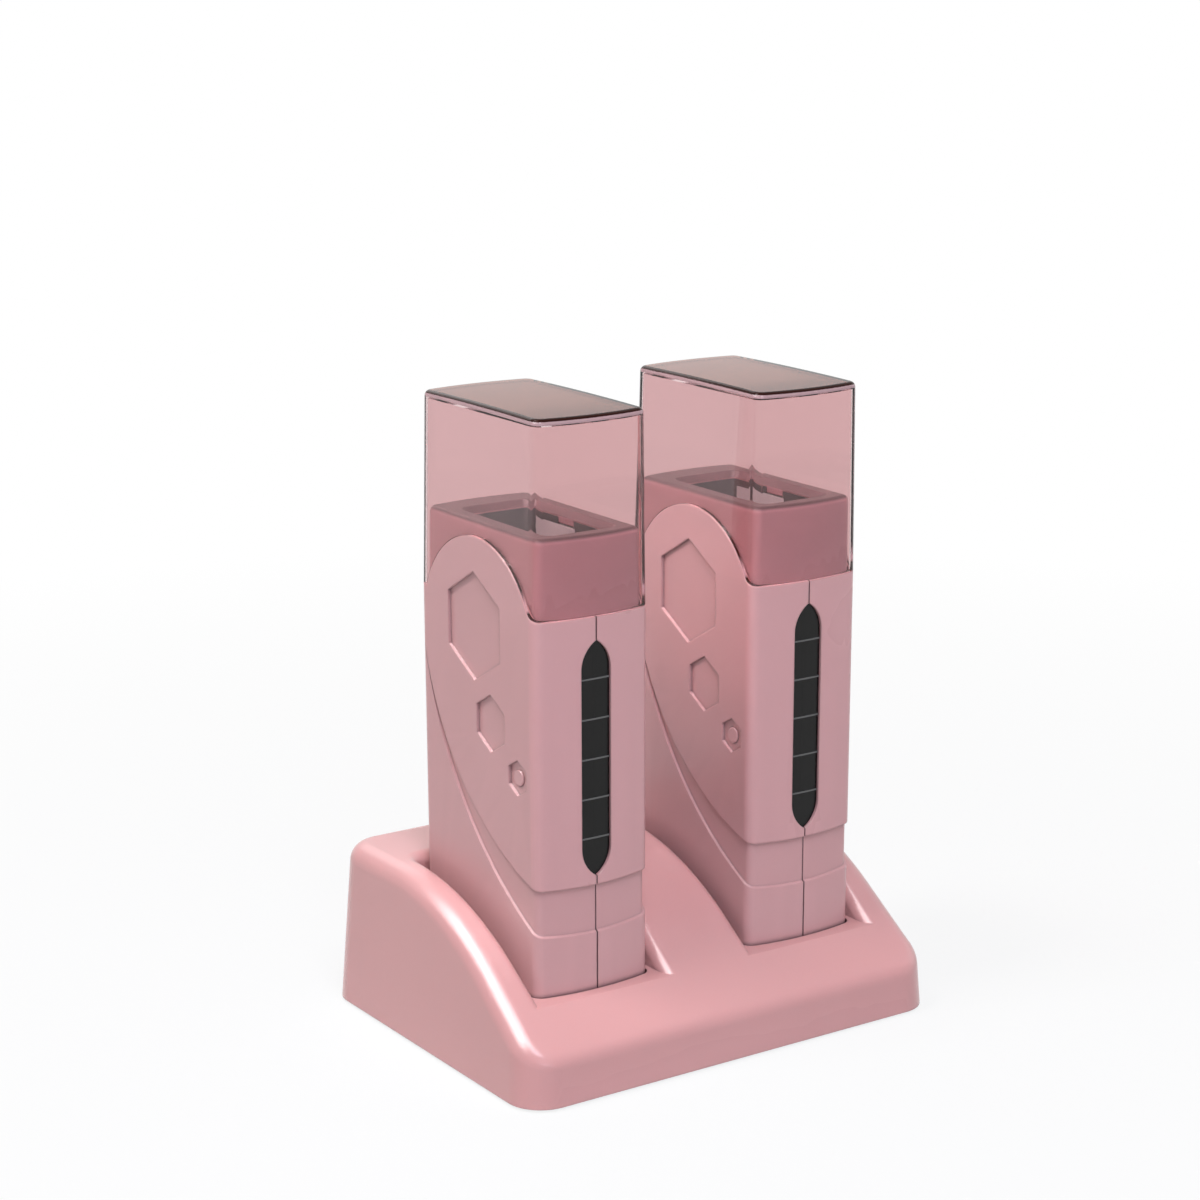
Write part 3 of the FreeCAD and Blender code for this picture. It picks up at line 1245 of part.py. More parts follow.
def thermal_cutout():
    """A small cutout on the key side's plate, above the heating element."""
    owner = new_body("cutout")
    face = sketch(owner, "cutout_side", "YZ_Plane",
                  [rounded_box("cutout_width", "cutout_height", "(cutout_width/5)",
                               "heat_plate_offset", "cutout_low + cutout_height/2")],
                  lift=f"-{WELL_HALF}")
    pad(owner, "cutout_pad", face, "cutout_thick", reverse=True)
    return [owner]


def control_board():
    """The board behind the key, with two chips."""
    owner = new_body("board")
    face = sketch(owner, "board_side", "YZ_Plane",
                  [centred_box("board_width", "board_height", "small_hex_y", "small_hex_z")],
                  lift=f"-{BOARD_FACE}")
    pad(owner, "board_pad", face, "board_thick")
    chips = [centred_box("chip_width", "chip_width", f"small_hex_y + {side}*board_width/4",
                         "small_hex_z + board_height/2 - chip_width*0.8") for side in (-1, 1)]
    spots = sketch(owner, "board_chip_side", "YZ_Plane", chips, lift=f"-{BOARD_FACE}")
    pad(owner, "board_chips", spots, "chip_thick", reverse=True)
    return [owner]


def push_switch():
    owner = new_body("switch")
    face = sketch(owner, "switch_side", "YZ_Plane",
                  [centred_box("switch_width", "switch_width", "small_hex_y", "small_hex_z"),
                   ("circle", ("small_hex_y", "small_hex_z"), "key_stem_radius + key_gap")],
                  lift=f"-{BOARD_FACE}")
    pad(owner, "switch_pad", face, "switch_thick", reverse=True)
    return [owner]


def indicator_lamp():
    owner = new_body("lamp")
    face = sketch(owner, "lamp_side", "YZ_Plane",
                  [("circle", ("small_hex_y", "small_hex_z + lamp_rise"), "lamp_radius")],
                  lift=f"-{BOARD_FACE}")
    pad(owner, "lamp_pad", face, "lamp_length", reverse=True)
    tip = number(f"{BOARD_FACE} + lamp_length")
    fillet(owner, "lamp_dome", "lamp_radius*0.6",
           lambda edge: abs(abs(middle_of(edge).x) - tip) < 0.01)
    return [owner]


def power_key():
    """The round key: its head fills the hole in the shell, its stem enters the switch."""
    owner = new_body("key")
    centre = ("small_hex_y", "small_hex_z")
    flange_face = f"({half_width('shell_wall')} - fit_gap)"
    flange_back = f"({flange_face} - key_flange_thick)"
    tip = f"({half_width('hex_depth')} + key_proud)"
    flange = sketch(owner, "key_flange_side", "YZ_Plane",
                    [("circle", centre, "key_flange_radius")], lift=f"-{flange_face}")
    pad(owner, "key_flange", flange, "key_flange_thick")
    head = sketch(owner, "key_head_side", "YZ_Plane", [("circle", centre, "key_radius")],
                  lift=f"-{tip}")
    pad(owner, "key_head", head, f"{tip} - {flange_back}")
    stem = sketch(owner, "key_stem_side", "YZ_Plane", [("circle", centre, "key_stem_radius")],
                  lift=f"-{flange_face}")
    pad(owner, "key_stem", stem,
        f"{flange_face} - {BOARD_FACE} - switch_thick + stem_engage")
    outer = number(tip)
    fillet(owner, "key_edge", "key_proud*0.8",
           lambda edge: abs(abs(middle_of(edge).x) - outer) < 0.01)
    return [owner]


def plug_socket():
    """The block in the heater's foot that slips over the dock's nose."""
    owner = new_body("socket")
    plan = sketch(owner, "socket_plan", "XY_Plane",
                  [centred_box("socket_width", "socket_length")], lift=HEATER_FOOT)
    pad(owner, "socket_block", plan, "socket_height")
    flange = sketch(owner, "socket_flange_plan", "XY_Plane",
                    [centred_box("socket_width + 2*socket_flange",
                                 "socket_length + 2*socket_flange")],
                    lift=f"{HEATER_FOOT} + shell_wall + fit_gap")
    pad(owner, "socket_flange_pad", flange, "socket_flange")
    mouth = sketch(owner, "socket_mouth_plan", "XY_Plane",
                   [stadium("nose_width + 2*nose_gap", "nose_length + 2*nose_gap")],
                   lift=HEATER_FOOT)
    pocket(owner, "socket_mouth", mouth, "nose_height - rest_gap + nose_gap", reverse=True)
    bores = [("circle", ("0", y), "pin_radius + fit_gap/2") for place, y in PINS]
    holes = sketch(owner, "socket_bore_plan", "XY_Plane", bores, lift=HEATER_FOOT)
    pocket(owner, "socket_bores", holes, reverse=True)
    return [owner]


def socket_pins():
    return [cylinder(f"{place}_socket_pin", "pin_radius",
                     "socket_height + pin_tail - pin_set_in", "0", y,
                     f"{HEATER_FOOT} + pin_set_in") for place, y in PINS]


def shell_screws():
    inward = Rotation(Vector(0, 1, 0), -90)
    return [screw(f"shell_{end}_screw", "shell_screw_length", "shell_screw_seat", y,
                  "shell_screw_z", inward)
            for end, y in (("front", "(-shell_screw_y)"), ("rear", "(shell_screw_y)"))]


def heater_wires():
    """From the socket to the board and a heating element, and from the board to both."""
    front_pin, rear_pin = (y for place, y in PINS)
    tail = f"({HEATER_FOOT} + socket_height + pin_tail)"
    on_board = f"(-{BOARD_FACE} - wire_radius - fit_gap)"
    on_element = f"({WELL_HALF} + element_thick/2)"
    below = f"({tail} + wire_bend)"
    rise = "(well_foot - ledge_thick - wire_bend)"
    end_z = "(small_hex_z - switch_width/2 - wire_bend)"
    near, far = "(heat_plate_offset)", "(heat_plate_offset + element_width/4)"
    first, second, third = (f"(small_hex_y + {step}*wire_y_step)" for step in (-1, 0, 1))
    return [
        tube("front_pin_wire", [
            ("0", front_pin, tail), ("0", front_pin, f"{below} + wire_bend"),
            (on_board, second, rise), (on_board, second, end_z)]),
        tube("rear_pin_wire", [
            ("0", rear_pin, tail), ("0", rear_pin, below),
            (on_element, near, f"{rise} - wire_bend"), (on_element, near, "element_low")]),
        tube("plain_element_wire", [
            (on_element, far, "element_low"), (on_element, far, f"{rise} - wire_radius"),
            (on_board, first, f"{rise} + wire_radius"), (on_board, first, end_z)]),
        tube("key_element_wire", [
            (f"-{on_element}", near, "element_low"),
            (f"-{on_element}", near, "element_low - 3*wire_bend"),
            (on_board, third, "element_low - 3*wire_bend"), (on_board, third, end_z)])]


# ---------------------------------------------------------------- assembly

def main():
    keep(base_housing(), "base_housing")
    keep(base_plate(), "base_plate")
    keep(group("feet", [cylinder(f"foot_{index}", "foot_radius", "foot_stand + foot_recess",
                                 x, y, "-foot_stand")
                        for index, (x, y) in enumerate(foot_centres())]), "base_feet")
    keep(group("plate_screws", [screw(f"base_screw_{index}", "base_screw_length", x, y,
                                      "screw_seat_depth")
                                for index, (x, y) in enumerate(base_bosses())]),
         "base_screws")
    keep(power_inlet(), "power_inlet")
    keep(group("inlet_pins", power_inlet_pins()), "power_inlet_pins")
    keep(group("base_wires", supply_wires()), "supply_wires")
    recess = band()
    pieces = {
        "dock_connector": dock_connector(),
        "dock_contacts": dock_contacts(),
        "key_side_shell": shell_half(-1, recess),
        "plain_side_shell": shell_half(1, recess),
        "collar": collar(),
        "cap": cap(),
        "window_lens": window_lens(),
        "level_marks": level_marks(),
        "cartridge_well": cartridge_well(),
        "heat_plates": heat_plates(),
        "heating_elements": heating_elements(),
        "element_clips": element_clips(),
        "thermal_cutout": thermal_cutout(),
        "control_board": control_board(),
        "push_switch": push_switch(),
        "indicator_lamp": indicator_lamp(),
        "power_key": power_key(),
        "plug_socket": plug_socket(),
        "socket_pins": socket_pins(),
        "shell_screws": shell_screws(),
        "heater_wires": heater_wires(),
    }
    for side, centre in DOCKS:
        for name, solids in pieces.items():
            keep(group(f"{side}_{name}_pair", solids), f"{side}_{name}", x=centre,
                 y="-heater_forward")
    doc.recompute()
    for item in doc.Objects:
        if "Invalid" in item.State or "Error" in item.State:
            raise RuntimeError(f"{item.Name} is {item.State}")
    for piece in kept:
        if piece.Shape.isNull() or not piece.Shape.isValid() or piece.Shape.Volume <= 0:
            raise RuntimeError(f"{piece.Label} has no sound shape")
    os.makedirs("parts", exist_ok=True)
    for piece in kept:
        piece.Shape.exportStep(f"parts/{piece.Label}.step")


main()
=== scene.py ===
"""Looks of the twin roll on wax heater: materials, studio light, floor and camera.

Metres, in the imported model's frame: +X along the base, -Y to the front, +Z up.
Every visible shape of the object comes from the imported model: no piece is added here.
"""
import bpy
import math

from mathutils import Matrix, Vector


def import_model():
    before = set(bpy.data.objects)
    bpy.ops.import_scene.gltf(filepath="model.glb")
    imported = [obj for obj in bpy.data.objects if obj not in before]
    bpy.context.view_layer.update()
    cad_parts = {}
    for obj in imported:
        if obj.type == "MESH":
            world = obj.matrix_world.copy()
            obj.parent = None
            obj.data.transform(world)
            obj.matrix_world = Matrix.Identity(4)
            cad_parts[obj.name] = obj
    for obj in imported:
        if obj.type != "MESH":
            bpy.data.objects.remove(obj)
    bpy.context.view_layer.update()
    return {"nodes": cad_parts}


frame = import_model()


# ---------------------------------------------------------------- node graphs

WHITE = (1.0, 1.0, 1.0, 1.0)
NOISE_RANGE = (0.3, 0.7)    # noise seldom leaves it
SMALL_EDGE = 0.0002         # the rounding of edges on small parts


def linear(red, green, blue):
    """A colour written as 0 to 255 display values, as the shaders want it."""
    def one(value):
        share = value / 255
        return share / 12.92 if share <= 0.04045 else ((share + 0.055) / 1.055) ** 2.4
    return (one(red), one(green), one(blue), 1.0)


def tinted(colour, factor):
    """The colour made lighter or darker."""
    return tuple(min(value * factor, 1.0) for value in colour[:3]) + (1.0,)


def plainer(colour):
    """The colour made nearly grey, for the light that plastic throws on its neighbours."""
    kept, brightness = 0.3, 0.95
    grey = sum(colour[:3]) / 3
    return tuple(brightness * (kept * value + (1 - kept) * grey)
                 for value in colour[:3]) + (1.0,)


class Graph:
    """Short names for making and joining the shader nodes of one tree."""

    def __init__(self, tree):
        self.tree = tree

    def node(self, kind, settings=None, **inputs):
        made = self.tree.nodes.new(kind)
        for key, value in (settings or {}).items():
            setattr(made, key, value)
        for key, value in inputs.items():
            self.feed(made.inputs[key.replace("_", " ")], value)
        return made

    def feed(self, socket, value):
        if isinstance(value, bpy.types.NodeSocket):
            self.tree.links.new(value, socket)
        else:
            socket.default_value = value

    def maths(self, operation, first, second=0.0):
        made = self.node("ShaderNodeMath", {"operation": operation})
        self.feed(made.inputs[0], first)
        self.feed(made.inputs[1], second)
        return made.outputs[0]

    def joined(self, factor, first, second):
        """A shader between two shaders."""
        made = self.node("ShaderNodeMixShader")
        for socket, value in zip(made.inputs, (factor, first, second)):
            self.feed(socket, value)
        return made.outputs[0]

    def seen_rays(self):
        """1 for what the camera sees, also in glass and gloss, 0 for rays that light."""
        path = self.node("ShaderNodeLightPath").outputs
        through = self.maths("MAXIMUM", path["Is Glossy Ray"], path["Is Transmission Ray"])
        direct = self.maths("LESS_THAN", path["Diffuse Depth"], 0.5)
        return self.maths("MAXIMUM", path["Is Camera Ray"],
                          self.maths("MULTIPLY", through, direct))


class Finish(Graph):
    """One material with a Principled shader."""

    def __init__(self, name, **sockets):
        self.material = bpy.data.materials.new(name)
        self.material.use_nodes = True
        super().__init__(self.material.node_tree)
        self.shader = self.tree.nodes["Principled BSDF"]
        self.output = self.tree.nodes["Material Output"]
        self.place = self.node("ShaderNodeTexCoord").outputs["Object"]
        for socket, value in sockets.items():
            self.set(socket.replace("_", " "), value)

    def set(self, socket, value):
        self.feed(self.shader.inputs[socket], value)

    def stretched(self, stretch):
        """The object's coordinates, scaled along each axis."""
        mapping = self.node("ShaderNodeMapping", Vector=self.place)
        mapping.inputs["Scale"].default_value = stretch
        return mapping.outputs[0]

    def noise(self, scale, detail=3.0, roughness=0.55, stretch=None):
        """Noise with that many lumps in a metre."""
        place = self.place if stretch is None else self.stretched(stretch)
        made = self.node("ShaderNodeTexNoise", Vector=place, Scale=scale, Detail=detail,
                         Roughness=roughness)
        return made.outputs[0]

    def span(self, value, low, high, to_low=0.0, to_high=1.0):
        """Maps low..high to to_low..to_high, and stops there."""
        made = self.node("ShaderNodeMapRange")
        self.feed(made.inputs["Value"], value)
        for key, number in (("From Min", low), ("From Max", high),
                            ("To Min", to_low), ("To Max", to_high)):
            made.inputs[key].default_value = number
        return made.outputs[0]

    def band(self, value, rise, fall):
        """1 between two ramps, and 0 before the first and after the second."""
        return self.maths("MULTIPLY", self.span(value, *rise),
                          self.span(value, *fall, 1.0, 0.0))

    def mixed(self, factor, first, second):
        """A colour between two colours."""
        factor_in, first_in, second_in, colour_out = 0, 6, 7, 2
        made = self.node("ShaderNodeMix", {"data_type": "RGBA"})
        self.feed(made.inputs[factor_in], factor)
        self.feed(made.inputs[first_in], first)
        self.feed(made.inputs[second_in], second)
        return made.outputs[colour_out]

    def pointed(self):
        """0 in creases, 1 on sharp edges, 0.5 on flats."""
        return self.node("ShaderNodeNewGeometry").outputs["Pointiness"]

    def rise(self):
        """How far the surface faces up: 1 on floors, 0 on walls, -1 on ceilings."""
        turned = self.node("ShaderNodeSeparateXYZ")
        self.feed(turned.inputs[0], self.node("ShaderNodeNewGeometry").outputs["Normal"])
        return turned.outputs["Z"]

    def upward(self):
        """How far the surface faces up or down: 0 on walls, 1 on flats."""
        return self.maths("ABSOLUTE", self.rise())

    def crease(self, reach):
        """Painted crease shade: 1 in the open and nearly so where the surface faces up, 0
        deep in a crease.
        """
        most_on_floors = 0.85
        near = self.node("ShaderNodeAmbientOcclusion", {"samples": 6}, Distance=reach)
        return self.maths("MAXIMUM", self.span(near.outputs["AO"], 0.2, 0.85),
                          self.span(self.rise(), 0.15, 0.45, 0.0, most_on_floors))

    def bounced(self, colour, seen_by_others):
        """The colour, and another one for the light that it throws on its neighbours."""
        diffuse = self.node("ShaderNodeLightPath").outputs["Is Diffuse Ray"]
        return self.mixed(diffuse, colour, seen_by_others)

    def bump(self, height, distance, strength=1.0, below=None):
        made = self.node("ShaderNodeBump", Height=height, Distance=distance,
                         Strength=strength)
        if below is not None:
            self.feed(made.inputs["Normal"], below)
        return made.outputs[0]

    def soft_edge(self, radius):
        """The normal with sharp edges rounded to a radius."""
        return self.node("ShaderNodeBevel", {"samples": 4}, Radius=radius).outputs[0]


def moulded(name, colour, roughness=0.36, grain_depth=0.00002, edge=0.0006, glow=0.0,
            coat=0.22, coat_rough=0.16, dark=0.28, shade_on_top=1.0, gloss=0.4):
    """Injection-moulded plastic: fine grain, faint flow marks, painted shade in creases,
    rubbed edges with painted highlight.

    dark and shade_on_top are the share of the colour that is left in the painted shade of
    creases and of flats.
    """
    crease_shade_reach, wave_depth = 0.0024, 0.00008
    sharp, shaded_flats = (0.52, 0.60), (0.3, 0.75)
    made = Finish(name, IOR=1.5, Specular_IOR_Level=gloss)
    flow = made.noise(14, detail=2, stretch=(1.0, 1.0, 0.35))
    speck = made.span(made.noise(2600, detail=1), *NOISE_RANGE, 0.0, 0.35)
    # Sharp edges are painted lighter: rubbed wear and a painted highlight.
    rubbed_and_highlit = made.span(made.pointed(), *sharp)
    base = made.mixed(flow, tinted(colour, 0.96), tinted(colour, 1.04))
    base = made.mixed(speck, base, tinted(colour, 0.95))
    base = made.mixed(made.maths("MULTIPLY", rubbed_and_highlit, 0.35), base, tinted(colour, 1.15))
    # Painted shade: the colour is darkened in creases by ambient occlusion.
    if dark < 1.0:
        base = made.mixed(made.crease(crease_shade_reach), tinted(colour, dark), base)
    # Painted shade: surfaces that face up or down keep only shade_on_top of the colour.
    if shade_on_top < 1.0:
        base = made.mixed(made.span(made.upward(), *shaded_flats), base, tinted(colour, shade_on_top))
    made.set("Base Color", made.bounced(base, plainer(colour)))
    smear = made.span(made.noise(20, detail=3, roughness=0.5), *NOISE_RANGE, -0.015, 0.02)
    rough = made.maths("ADD", smear, roughness)
    made.set("Roughness", made.maths("SUBTRACT", rough, made.maths("MULTIPLY", rubbed_and_highlit, 0.08)))
    wave = made.bump(made.noise(55, detail=2), wave_depth, 0.3, made.soft_edge(edge))
    grain = made.noise(1400, detail=3, roughness=0.6)
    made.set("Normal", made.bump(grain, grain_depth, 0.6, wave))
    made.set("Coat Weight", coat)
    made.set("Coat Roughness", coat_rough)
    if glow:
        made.set("Subsurface Weight", glow)
        made.set("Subsurface Radius", (0.9, 0.45, 0.4))
        made.set("Subsurface Scale", 0.0025)
    return made.material


def bends(made, colour, coat, bend, edge, flat_top):
    """Gives clear plastic a darker top and dark outlines as painted shade, and milky bends
    painted in place of the light its roundings bend.

    How far the surface faces up tells them apart: a wall's draft is below 0.03, the
    roundings run from there to 0.99, and what lies flat is above.
    """
    starts_bend = (0.035, 0.1)
    steep_bend = (0.5, 0.62)
    ends_bend = (0.99, 0.998)
    lies_flat = (0.985, 0.998)
    outline_strength, clearness_left = 0.7, 0.1
    upward = made.upward()
    facing = made.node("ShaderNodeLayerWeight", Blend=0.5).outputs["Facing"]
    # Painted shade: flat tops, seen at a slant, are painted darker and browner.
    shaded_flats = made.maths("MULTIPLY", made.span(upward, *lies_flat),
                       made.span(facing, 0.3, 0.7))
    # Painted shade: a dark line along the upper bend of the top edges.
    upper_bend = made.band(upward, steep_bend, ends_bend)
    dull = made.maths("MAXIMUM", shaded_flats, upper_bend)
    # Where the top and its upper bend are painted dark, the gloss is tinted the same brown
    # and the coat is left off.
    made.set("Specular Tint", made.mixed(dull, WHITE, flat_top))
    made.set("Coat Weight", made.span(dull, 0.0, 1.0, coat, 0.0))
    # Painted bent light: the roundings lose most of their clearness and take the bend
    # colour.
    milky = made.band(upward, starts_bend, ends_bend)
    # Painted shade: dark outlines where walls are seen edge-on.
    painted_outline = made.maths("MULTIPLY", made.span(facing, 0.6, 0.85),
                         made.span(upward, 0.05, 0.2, 1.0, 0.0))
    solid = made.maths("MAXIMUM", milky, made.maths("MULTIPLY", painted_outline, outline_strength))
    made.set("Transmission Weight", made.span(solid, 0.0, 1.0, 1.0, clearness_left))
    colour = made.mixed(shaded_flats, colour, flat_top)
    colour = made.mixed(milky, colour, bend)
    return made.mixed(made.maths("MAXIMUM", upper_bend, painted_outline), colour, edge)


def see_through(name, tint, lamp_tint, coat, **bend_colours):
    """Clear tinted plastic, with faint flow waves and hairline scratches.

    The lamps shine through it with lamp_tint, and bend_colours are the painted colours of
    bends().
    """
    roughness, most_haze = 0.03, 0.05
    made = Finish(name, IOR=1.2, Transmission_Weight=1.0, Coat_Weight=coat,
                  Coat_Roughness=0.02)
    flow = made.noise(22, detail=3, stretch=(1.0, 1.0, 0.4))
    colour = made.mixed(flow, tinted(tint, 0.985), tinted(tint, 1.01))
    if bend_colours:
        colour = bends(made, colour, coat, **bend_colours)
    made.set("Base Color", colour)
    hair = made.noise(900, detail=6, roughness=0.7, stretch=(0.05, 1.0, 1.6))
    haze = made.span(hair, 0.56, 0.78, 0.0, most_haze)
    made.set("Roughness", made.maths("ADD", haze, roughness))
    made.set("Normal", made.bump(made.noise(30, detail=1), 0.00008, 0.3))
    clear = made.node("ShaderNodeBsdfTransparent", Color=lamp_tint)
    lamps = made.node("ShaderNodeLightPath").outputs["Is Shadow Ray"]
    made.feed(made.output.inputs["Surface"],
              made.joined(lamps, made.shader.outputs[0], clear.outputs[0]))
    return made.material


def brushed(name, colour, roughness, along, lines=2600, metallic=1.0):
    """Rolled or brushed metal: fine lines, stretched where a value of along is small."""
    made = Finish(name, Metallic=metallic)
    grain = made.noise(lines, detail=3, roughness=0.7, stretch=along)
    blotch = made.noise(60, detail=4)
    made.set("Base Color", made.mixed(made.span(blotch, *NOISE_RANGE),
                                      tinted(colour, 0.86), tinted(colour, 1.06)))
    made.set("Roughness", made.span(grain, 0.25, 0.75, roughness - 0.09, roughness + 0.12))
    made.set("Normal", made.bump(grain, 0.00003, 0.5, made.soft_edge(SMALL_EDGE)))
    return made.material


def matt(name, colour, roughness, lumps, depth, fleck=0.12, **sockets):
    """Rubber, ceramic or a rough moulding: lumps of that depth, that many in a metre."""
    made = Finish(name, **sockets)
    broad = made.noise(45, detail=4)
    fine = made.noise(lumps, detail=4, roughness=0.65)
    base = made.mixed(broad, tinted(colour, 1 - fleck), tinted(colour, 1 + fleck))
    made.set("Base Color", made.mixed(made.span(fine, 0.45, 0.75, 0.0, 0.5), base,
                                      tinted(colour, 1 - 2 * fleck)))
    made.set("Roughness", made.span(fine, *NOISE_RANGE, roughness - 0.08,
                                    roughness + 0.08))
    made.set("Normal", made.bump(fine, depth, 0.7, made.soft_edge(SMALL_EDGE)))
    return made.material


# ---------------------------------------------------------------- the object's finishes

BASE_PINK = linear(238, 172, 170)
SHELL_PINK = linear(234, 174, 174)
ROSE = linear(186, 146, 149)    # chosen as it looks through the pink cap

FINISHES = {
    "base_pink": moulded("base_pink_gloss", BASE_PINK, roughness=0.3, glow=0.08, coat=0.6,
                         coat_rough=0.25, gloss=0.2),
    "base_cover": moulded("base_cover_plastic", linear(205, 158, 163), roughness=0.5,
                          grain_depth=0.00005),
    "foot_rubber": matt("foot_rubber_grey", linear(62, 60, 60), roughness=0.82, lumps=1700,
                        depth=0.00008),
    "screw_steel": brushed("screw_zinc", linear(188, 188, 192), roughness=0.32,
                           along=(1.0, 1.0, 0.4), lines=1500),
    "socket_black": matt("socket_nylon_black", linear(34, 33, 35), roughness=0.5,
                         lumps=1500, depth=0.00004),
    "pin_brass": brushed("pin_nickel_brass", linear(205, 176, 120), roughness=0.24,
                         along=(1.0, 1.0, 0.1)),
    "wire_red": matt("wire_pvc_red", linear(168, 38, 38), roughness=0.42, lumps=900,
                     depth=0.00003),
    "shell_pink": moulded("shell_pink_satin", SHELL_PINK, glow=0.06, edge=0.0009),
    # The collar's flat faces get a strong painted shade.
    "collar_rose": moulded("collar_rose_satin", ROSE, roughness=0.33, glow=0.05, dark=1.0,
                           shade_on_top=0.2),
    # bend, edge and flat_top are painted: bent light in the bends, and dark outlines and a
    # darker top as painted shade.
    "cap_clear": see_through("cap_pink_clear", tint=linear(231, 205, 206),
                             lamp_tint=linear(244, 237, 237), coat=0.3,
                             bend=linear(206, 166, 168), edge=linear(48, 20, 14),
                             flat_top=linear(122, 70, 52)),
    "window_smoke": see_through("window_smoke_dark", tint=linear(72, 68, 68),
                                lamp_tint=linear(120, 115, 112), coat=0.35),
    "mark_grey": matt("mark_print_grey", linear(104, 102, 100), roughness=0.5, lumps=2400,
                      depth=0.00001, fleck=0.05),
    "well_grey": matt("well_heatproof_grey", linear(92, 88, 86), roughness=0.55,
                      lumps=1300, depth=0.00006),
    "plate_aluminium": brushed("plate_brushed_aluminium", linear(222, 220, 219),
                               roughness=0.5, along=(1.0, 1.0, 0.03), metallic=0.35),
    "element_white": matt("element_silicone_white", linear(226, 224, 216), roughness=0.6,
                          lumps=1100, depth=0.00005, fleck=0.04),
    "clip_steel": brushed("clip_spring_steel", linear(150, 150, 156), roughness=0.28,
                          along=(1.0, 0.05, 1.0)),
    "cutout_white": matt("cutout_ceramic", linear(236, 232, 222), roughness=0.35,
                         lumps=700, depth=0.00003, fleck=0.03),
    "board_green": matt("board_epoxy_green", linear(34, 92, 58), roughness=0.34,
                        lumps=2200, depth=0.00002, fleck=0.1),
    "switch_black": matt("switch_black", linear(28, 28, 30), roughness=0.4, lumps=1600,
                         depth=0.00003),
    "lamp_clear": matt("lamp_diffused_white", linear(236, 236, 232), roughness=0.2,
                       lumps=600, depth=0.00001, fleck=0.02, Transmission_Weight=0.5),
    "key_pink": moulded("key_pink_satin", tinted(SHELL_PINK, 1.02), roughness=0.3,
                        edge=0.00015),
}

for node in frame["nodes"].values():
    for slot in node.material_slots:
        slot_name = slot.material.name.split(".")[0] if slot.material else ""
        if slot_name not in FINISHES:
            raise RuntimeError(f"{node.name} has a slot {slot_name!r} with no finish")
        slot.link = "OBJECT"
        slot.material = FINISHES[slot_name]


# ---------------------------------------------------------------- studio

def backdrop_colour(name, colour, white_share):
    """A surface that the camera, mirrors and glass see as pale, and that takes shadows.

    white_share of plain white is mixed in at the origin, and more of it further out.
    """
    fade_from, fade_to = 0.12, 0.75
    made = Finish(name, Roughness=0.85, Specular_IOR_Level=0.1)
    dapple = made.noise(3, detail=2)
    made.set("Base Color", made.bounced(made.mixed(dapple, tinted(colour, 0.985), colour),
                                        tinted(colour, 0.7)))
    glow = made.node("ShaderNodeEmission", Color=WHITE, Strength=1.0)
    reach = made.node("ShaderNodeVectorMath", {"operation": "LENGTH"})
    made.feed(reach.inputs[0], made.place)
    fade = made.span(reach.outputs["Value"], fade_from, fade_to, white_share, 1.0)
    made.feed(made.output.inputs["Surface"],
              made.joined(made.maths("MULTIPLY", made.seen_rays(), fade),
                          made.shader.outputs[0], glow.outputs[0]))
    return made.material


def floor(reach=6.0):
    mesh = bpy.data.meshes.new("floor")
    mesh.from_pydata([(-reach, -reach, 0), (reach, -reach, 0), (reach, reach, 0),
                      (-reach, reach, 0)], [], [(0, 1, 2, 3)])
    made = bpy.data.objects.new("floor", mesh)
    bpy.context.scene.collection.objects.link(made)
    made.data.materials.append(backdrop_colour("floor_pale", linear(243, 241, 241),
                                               white_share=0.84))


def world(strength):
    """White where it is seen, and this strength where it lights."""
    made = bpy.data.worlds.new("studio")
    bpy.context.scene.world = made
    made.use_nodes = True
    made.node_tree.nodes.clear()
    graph = Graph(made.node_tree)
    soft = graph.node("ShaderNodeBackground", Color=(1.0, 0.99, 0.985, 1.0),
                      Strength=strength)
    white = graph.node("ShaderNodeBackground", Color=WHITE, Strength=1.0)
    output = graph.node("ShaderNodeOutputWorld")
    graph.feed(output.inputs["Surface"],
               graph.joined(graph.seen_rays(), soft.outputs[0], white.outputs[0]))


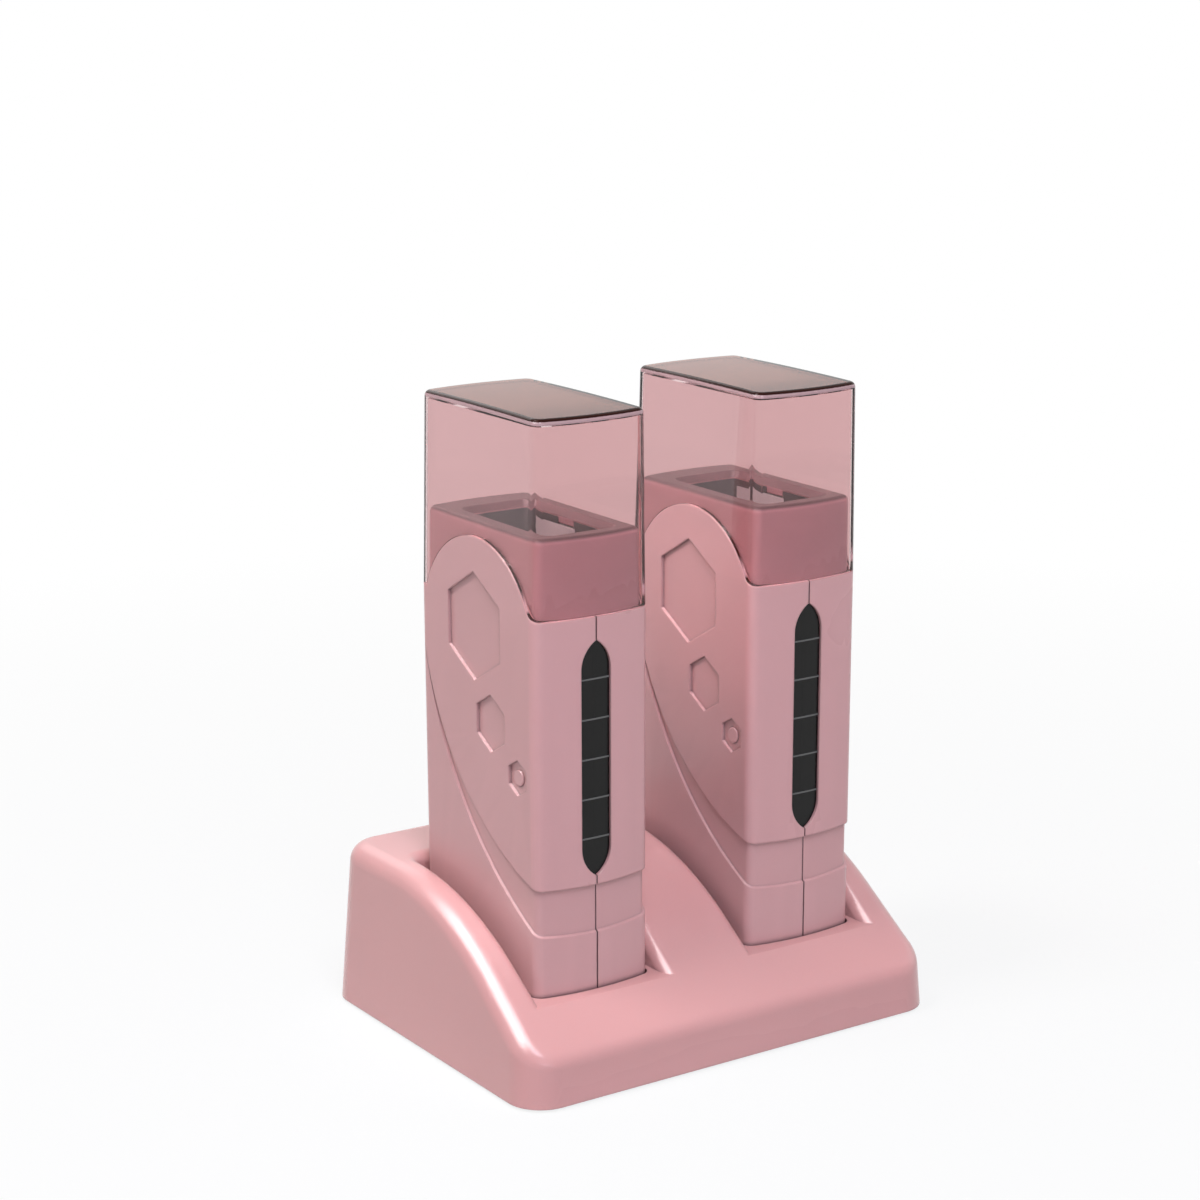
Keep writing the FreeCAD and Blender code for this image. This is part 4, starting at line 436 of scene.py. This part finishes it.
def softbox(name, place, aim_height, size, power, colour=WHITE[:3]):
    """A rectangular lamp at a place, turned to a point on the Z axis."""
    lamp = bpy.data.lights.new(name, "AREA")
    lamp.shape = "RECTANGLE"
    lamp.size, lamp.size_y = size
    lamp.energy = power
    lamp.color = colour
    made = bpy.data.objects.new(name, lamp)
    bpy.context.scene.collection.objects.link(made)
    made.location = place
    aim = Vector((0.0, 0.0, aim_height)) - Vector(place)
    made.rotation_euler = aim.to_track_quat("-Z", "Y").to_euler()
    return made


def camera():
    """The photograph's view: its direction, distance, lens and framing."""
    pixels, focal, centre = 1200, 2848.658, (629.945, 734.069)
    distance, look_height = 1.010712, 0.10105
    turn, rise = math.radians(-34.461), math.radians(16.615)
    back = Vector((math.sin(turn) * math.cos(rise), -math.cos(turn) * math.cos(rise),
                   math.sin(rise)))
    right = Vector((math.cos(turn), math.sin(turn), 0.0))
    up = back.cross(right)
    lens = bpy.data.cameras.new("camera")
    lens.sensor_width = 36.0
    lens.lens = focal / pixels * lens.sensor_width
    lens.shift_x = (pixels / 2 - centre[0]) / pixels
    lens.shift_y = (centre[1] - pixels / 2) / pixels
    lens.clip_start, lens.clip_end = 0.05, 40.0
    made = bpy.data.objects.new("camera", lens)
    bpy.context.scene.collection.objects.link(made)
    made.matrix_world = (Matrix.Translation(Vector((0, 0, look_height)) + back * distance)
                         @ Matrix((right, up, back)).transposed().to_4x4())
    bpy.context.scene.camera = made


world(strength=0.06)
floor()
softbox("key", place=(-0.62, 0.1, 1.25), aim_height=0.08, size=(0.3, 0.34), power=7.0)
softbox("overhead", place=(-0.1, -0.45, 1.5), aim_height=0.08, size=(0.4, 0.4), power=5.4,
        colour=(0.94, 0.96, 1.0))
softbox("front_high", place=(-0.4, -0.9, 1.4), aim_height=0.1, size=(0.5, 0.5), power=9.6,
        colour=(0.8, 0.87, 1.0))
softbox("front", place=(-0.6, -1.7, 0.5), aim_height=0.1, size=(0.9, 0.6), power=3.9,
        colour=(0.68, 0.82, 1.0))
softbox("rear", place=(0.1, 1.2, 0.9), aim_height=0.08, size=(0.9, 0.4), power=2.0)
softbox("right", place=(1.3, -0.2, 0.6), aim_height=0.1, size=(0.6, 0.9), power=1.5)
# Seen in gloss alone: the broad white highlights on the rounded edges.
card = softbox("gloss_card", place=(-0.66, 0.12, 1.3), aim_height=0.08, size=(1.2, 1.2),
               power=58)
card.visible_diffuse = False
card.visible_transmission = False
camera()
bpy.context.scene.view_settings.view_transform = "Standard"
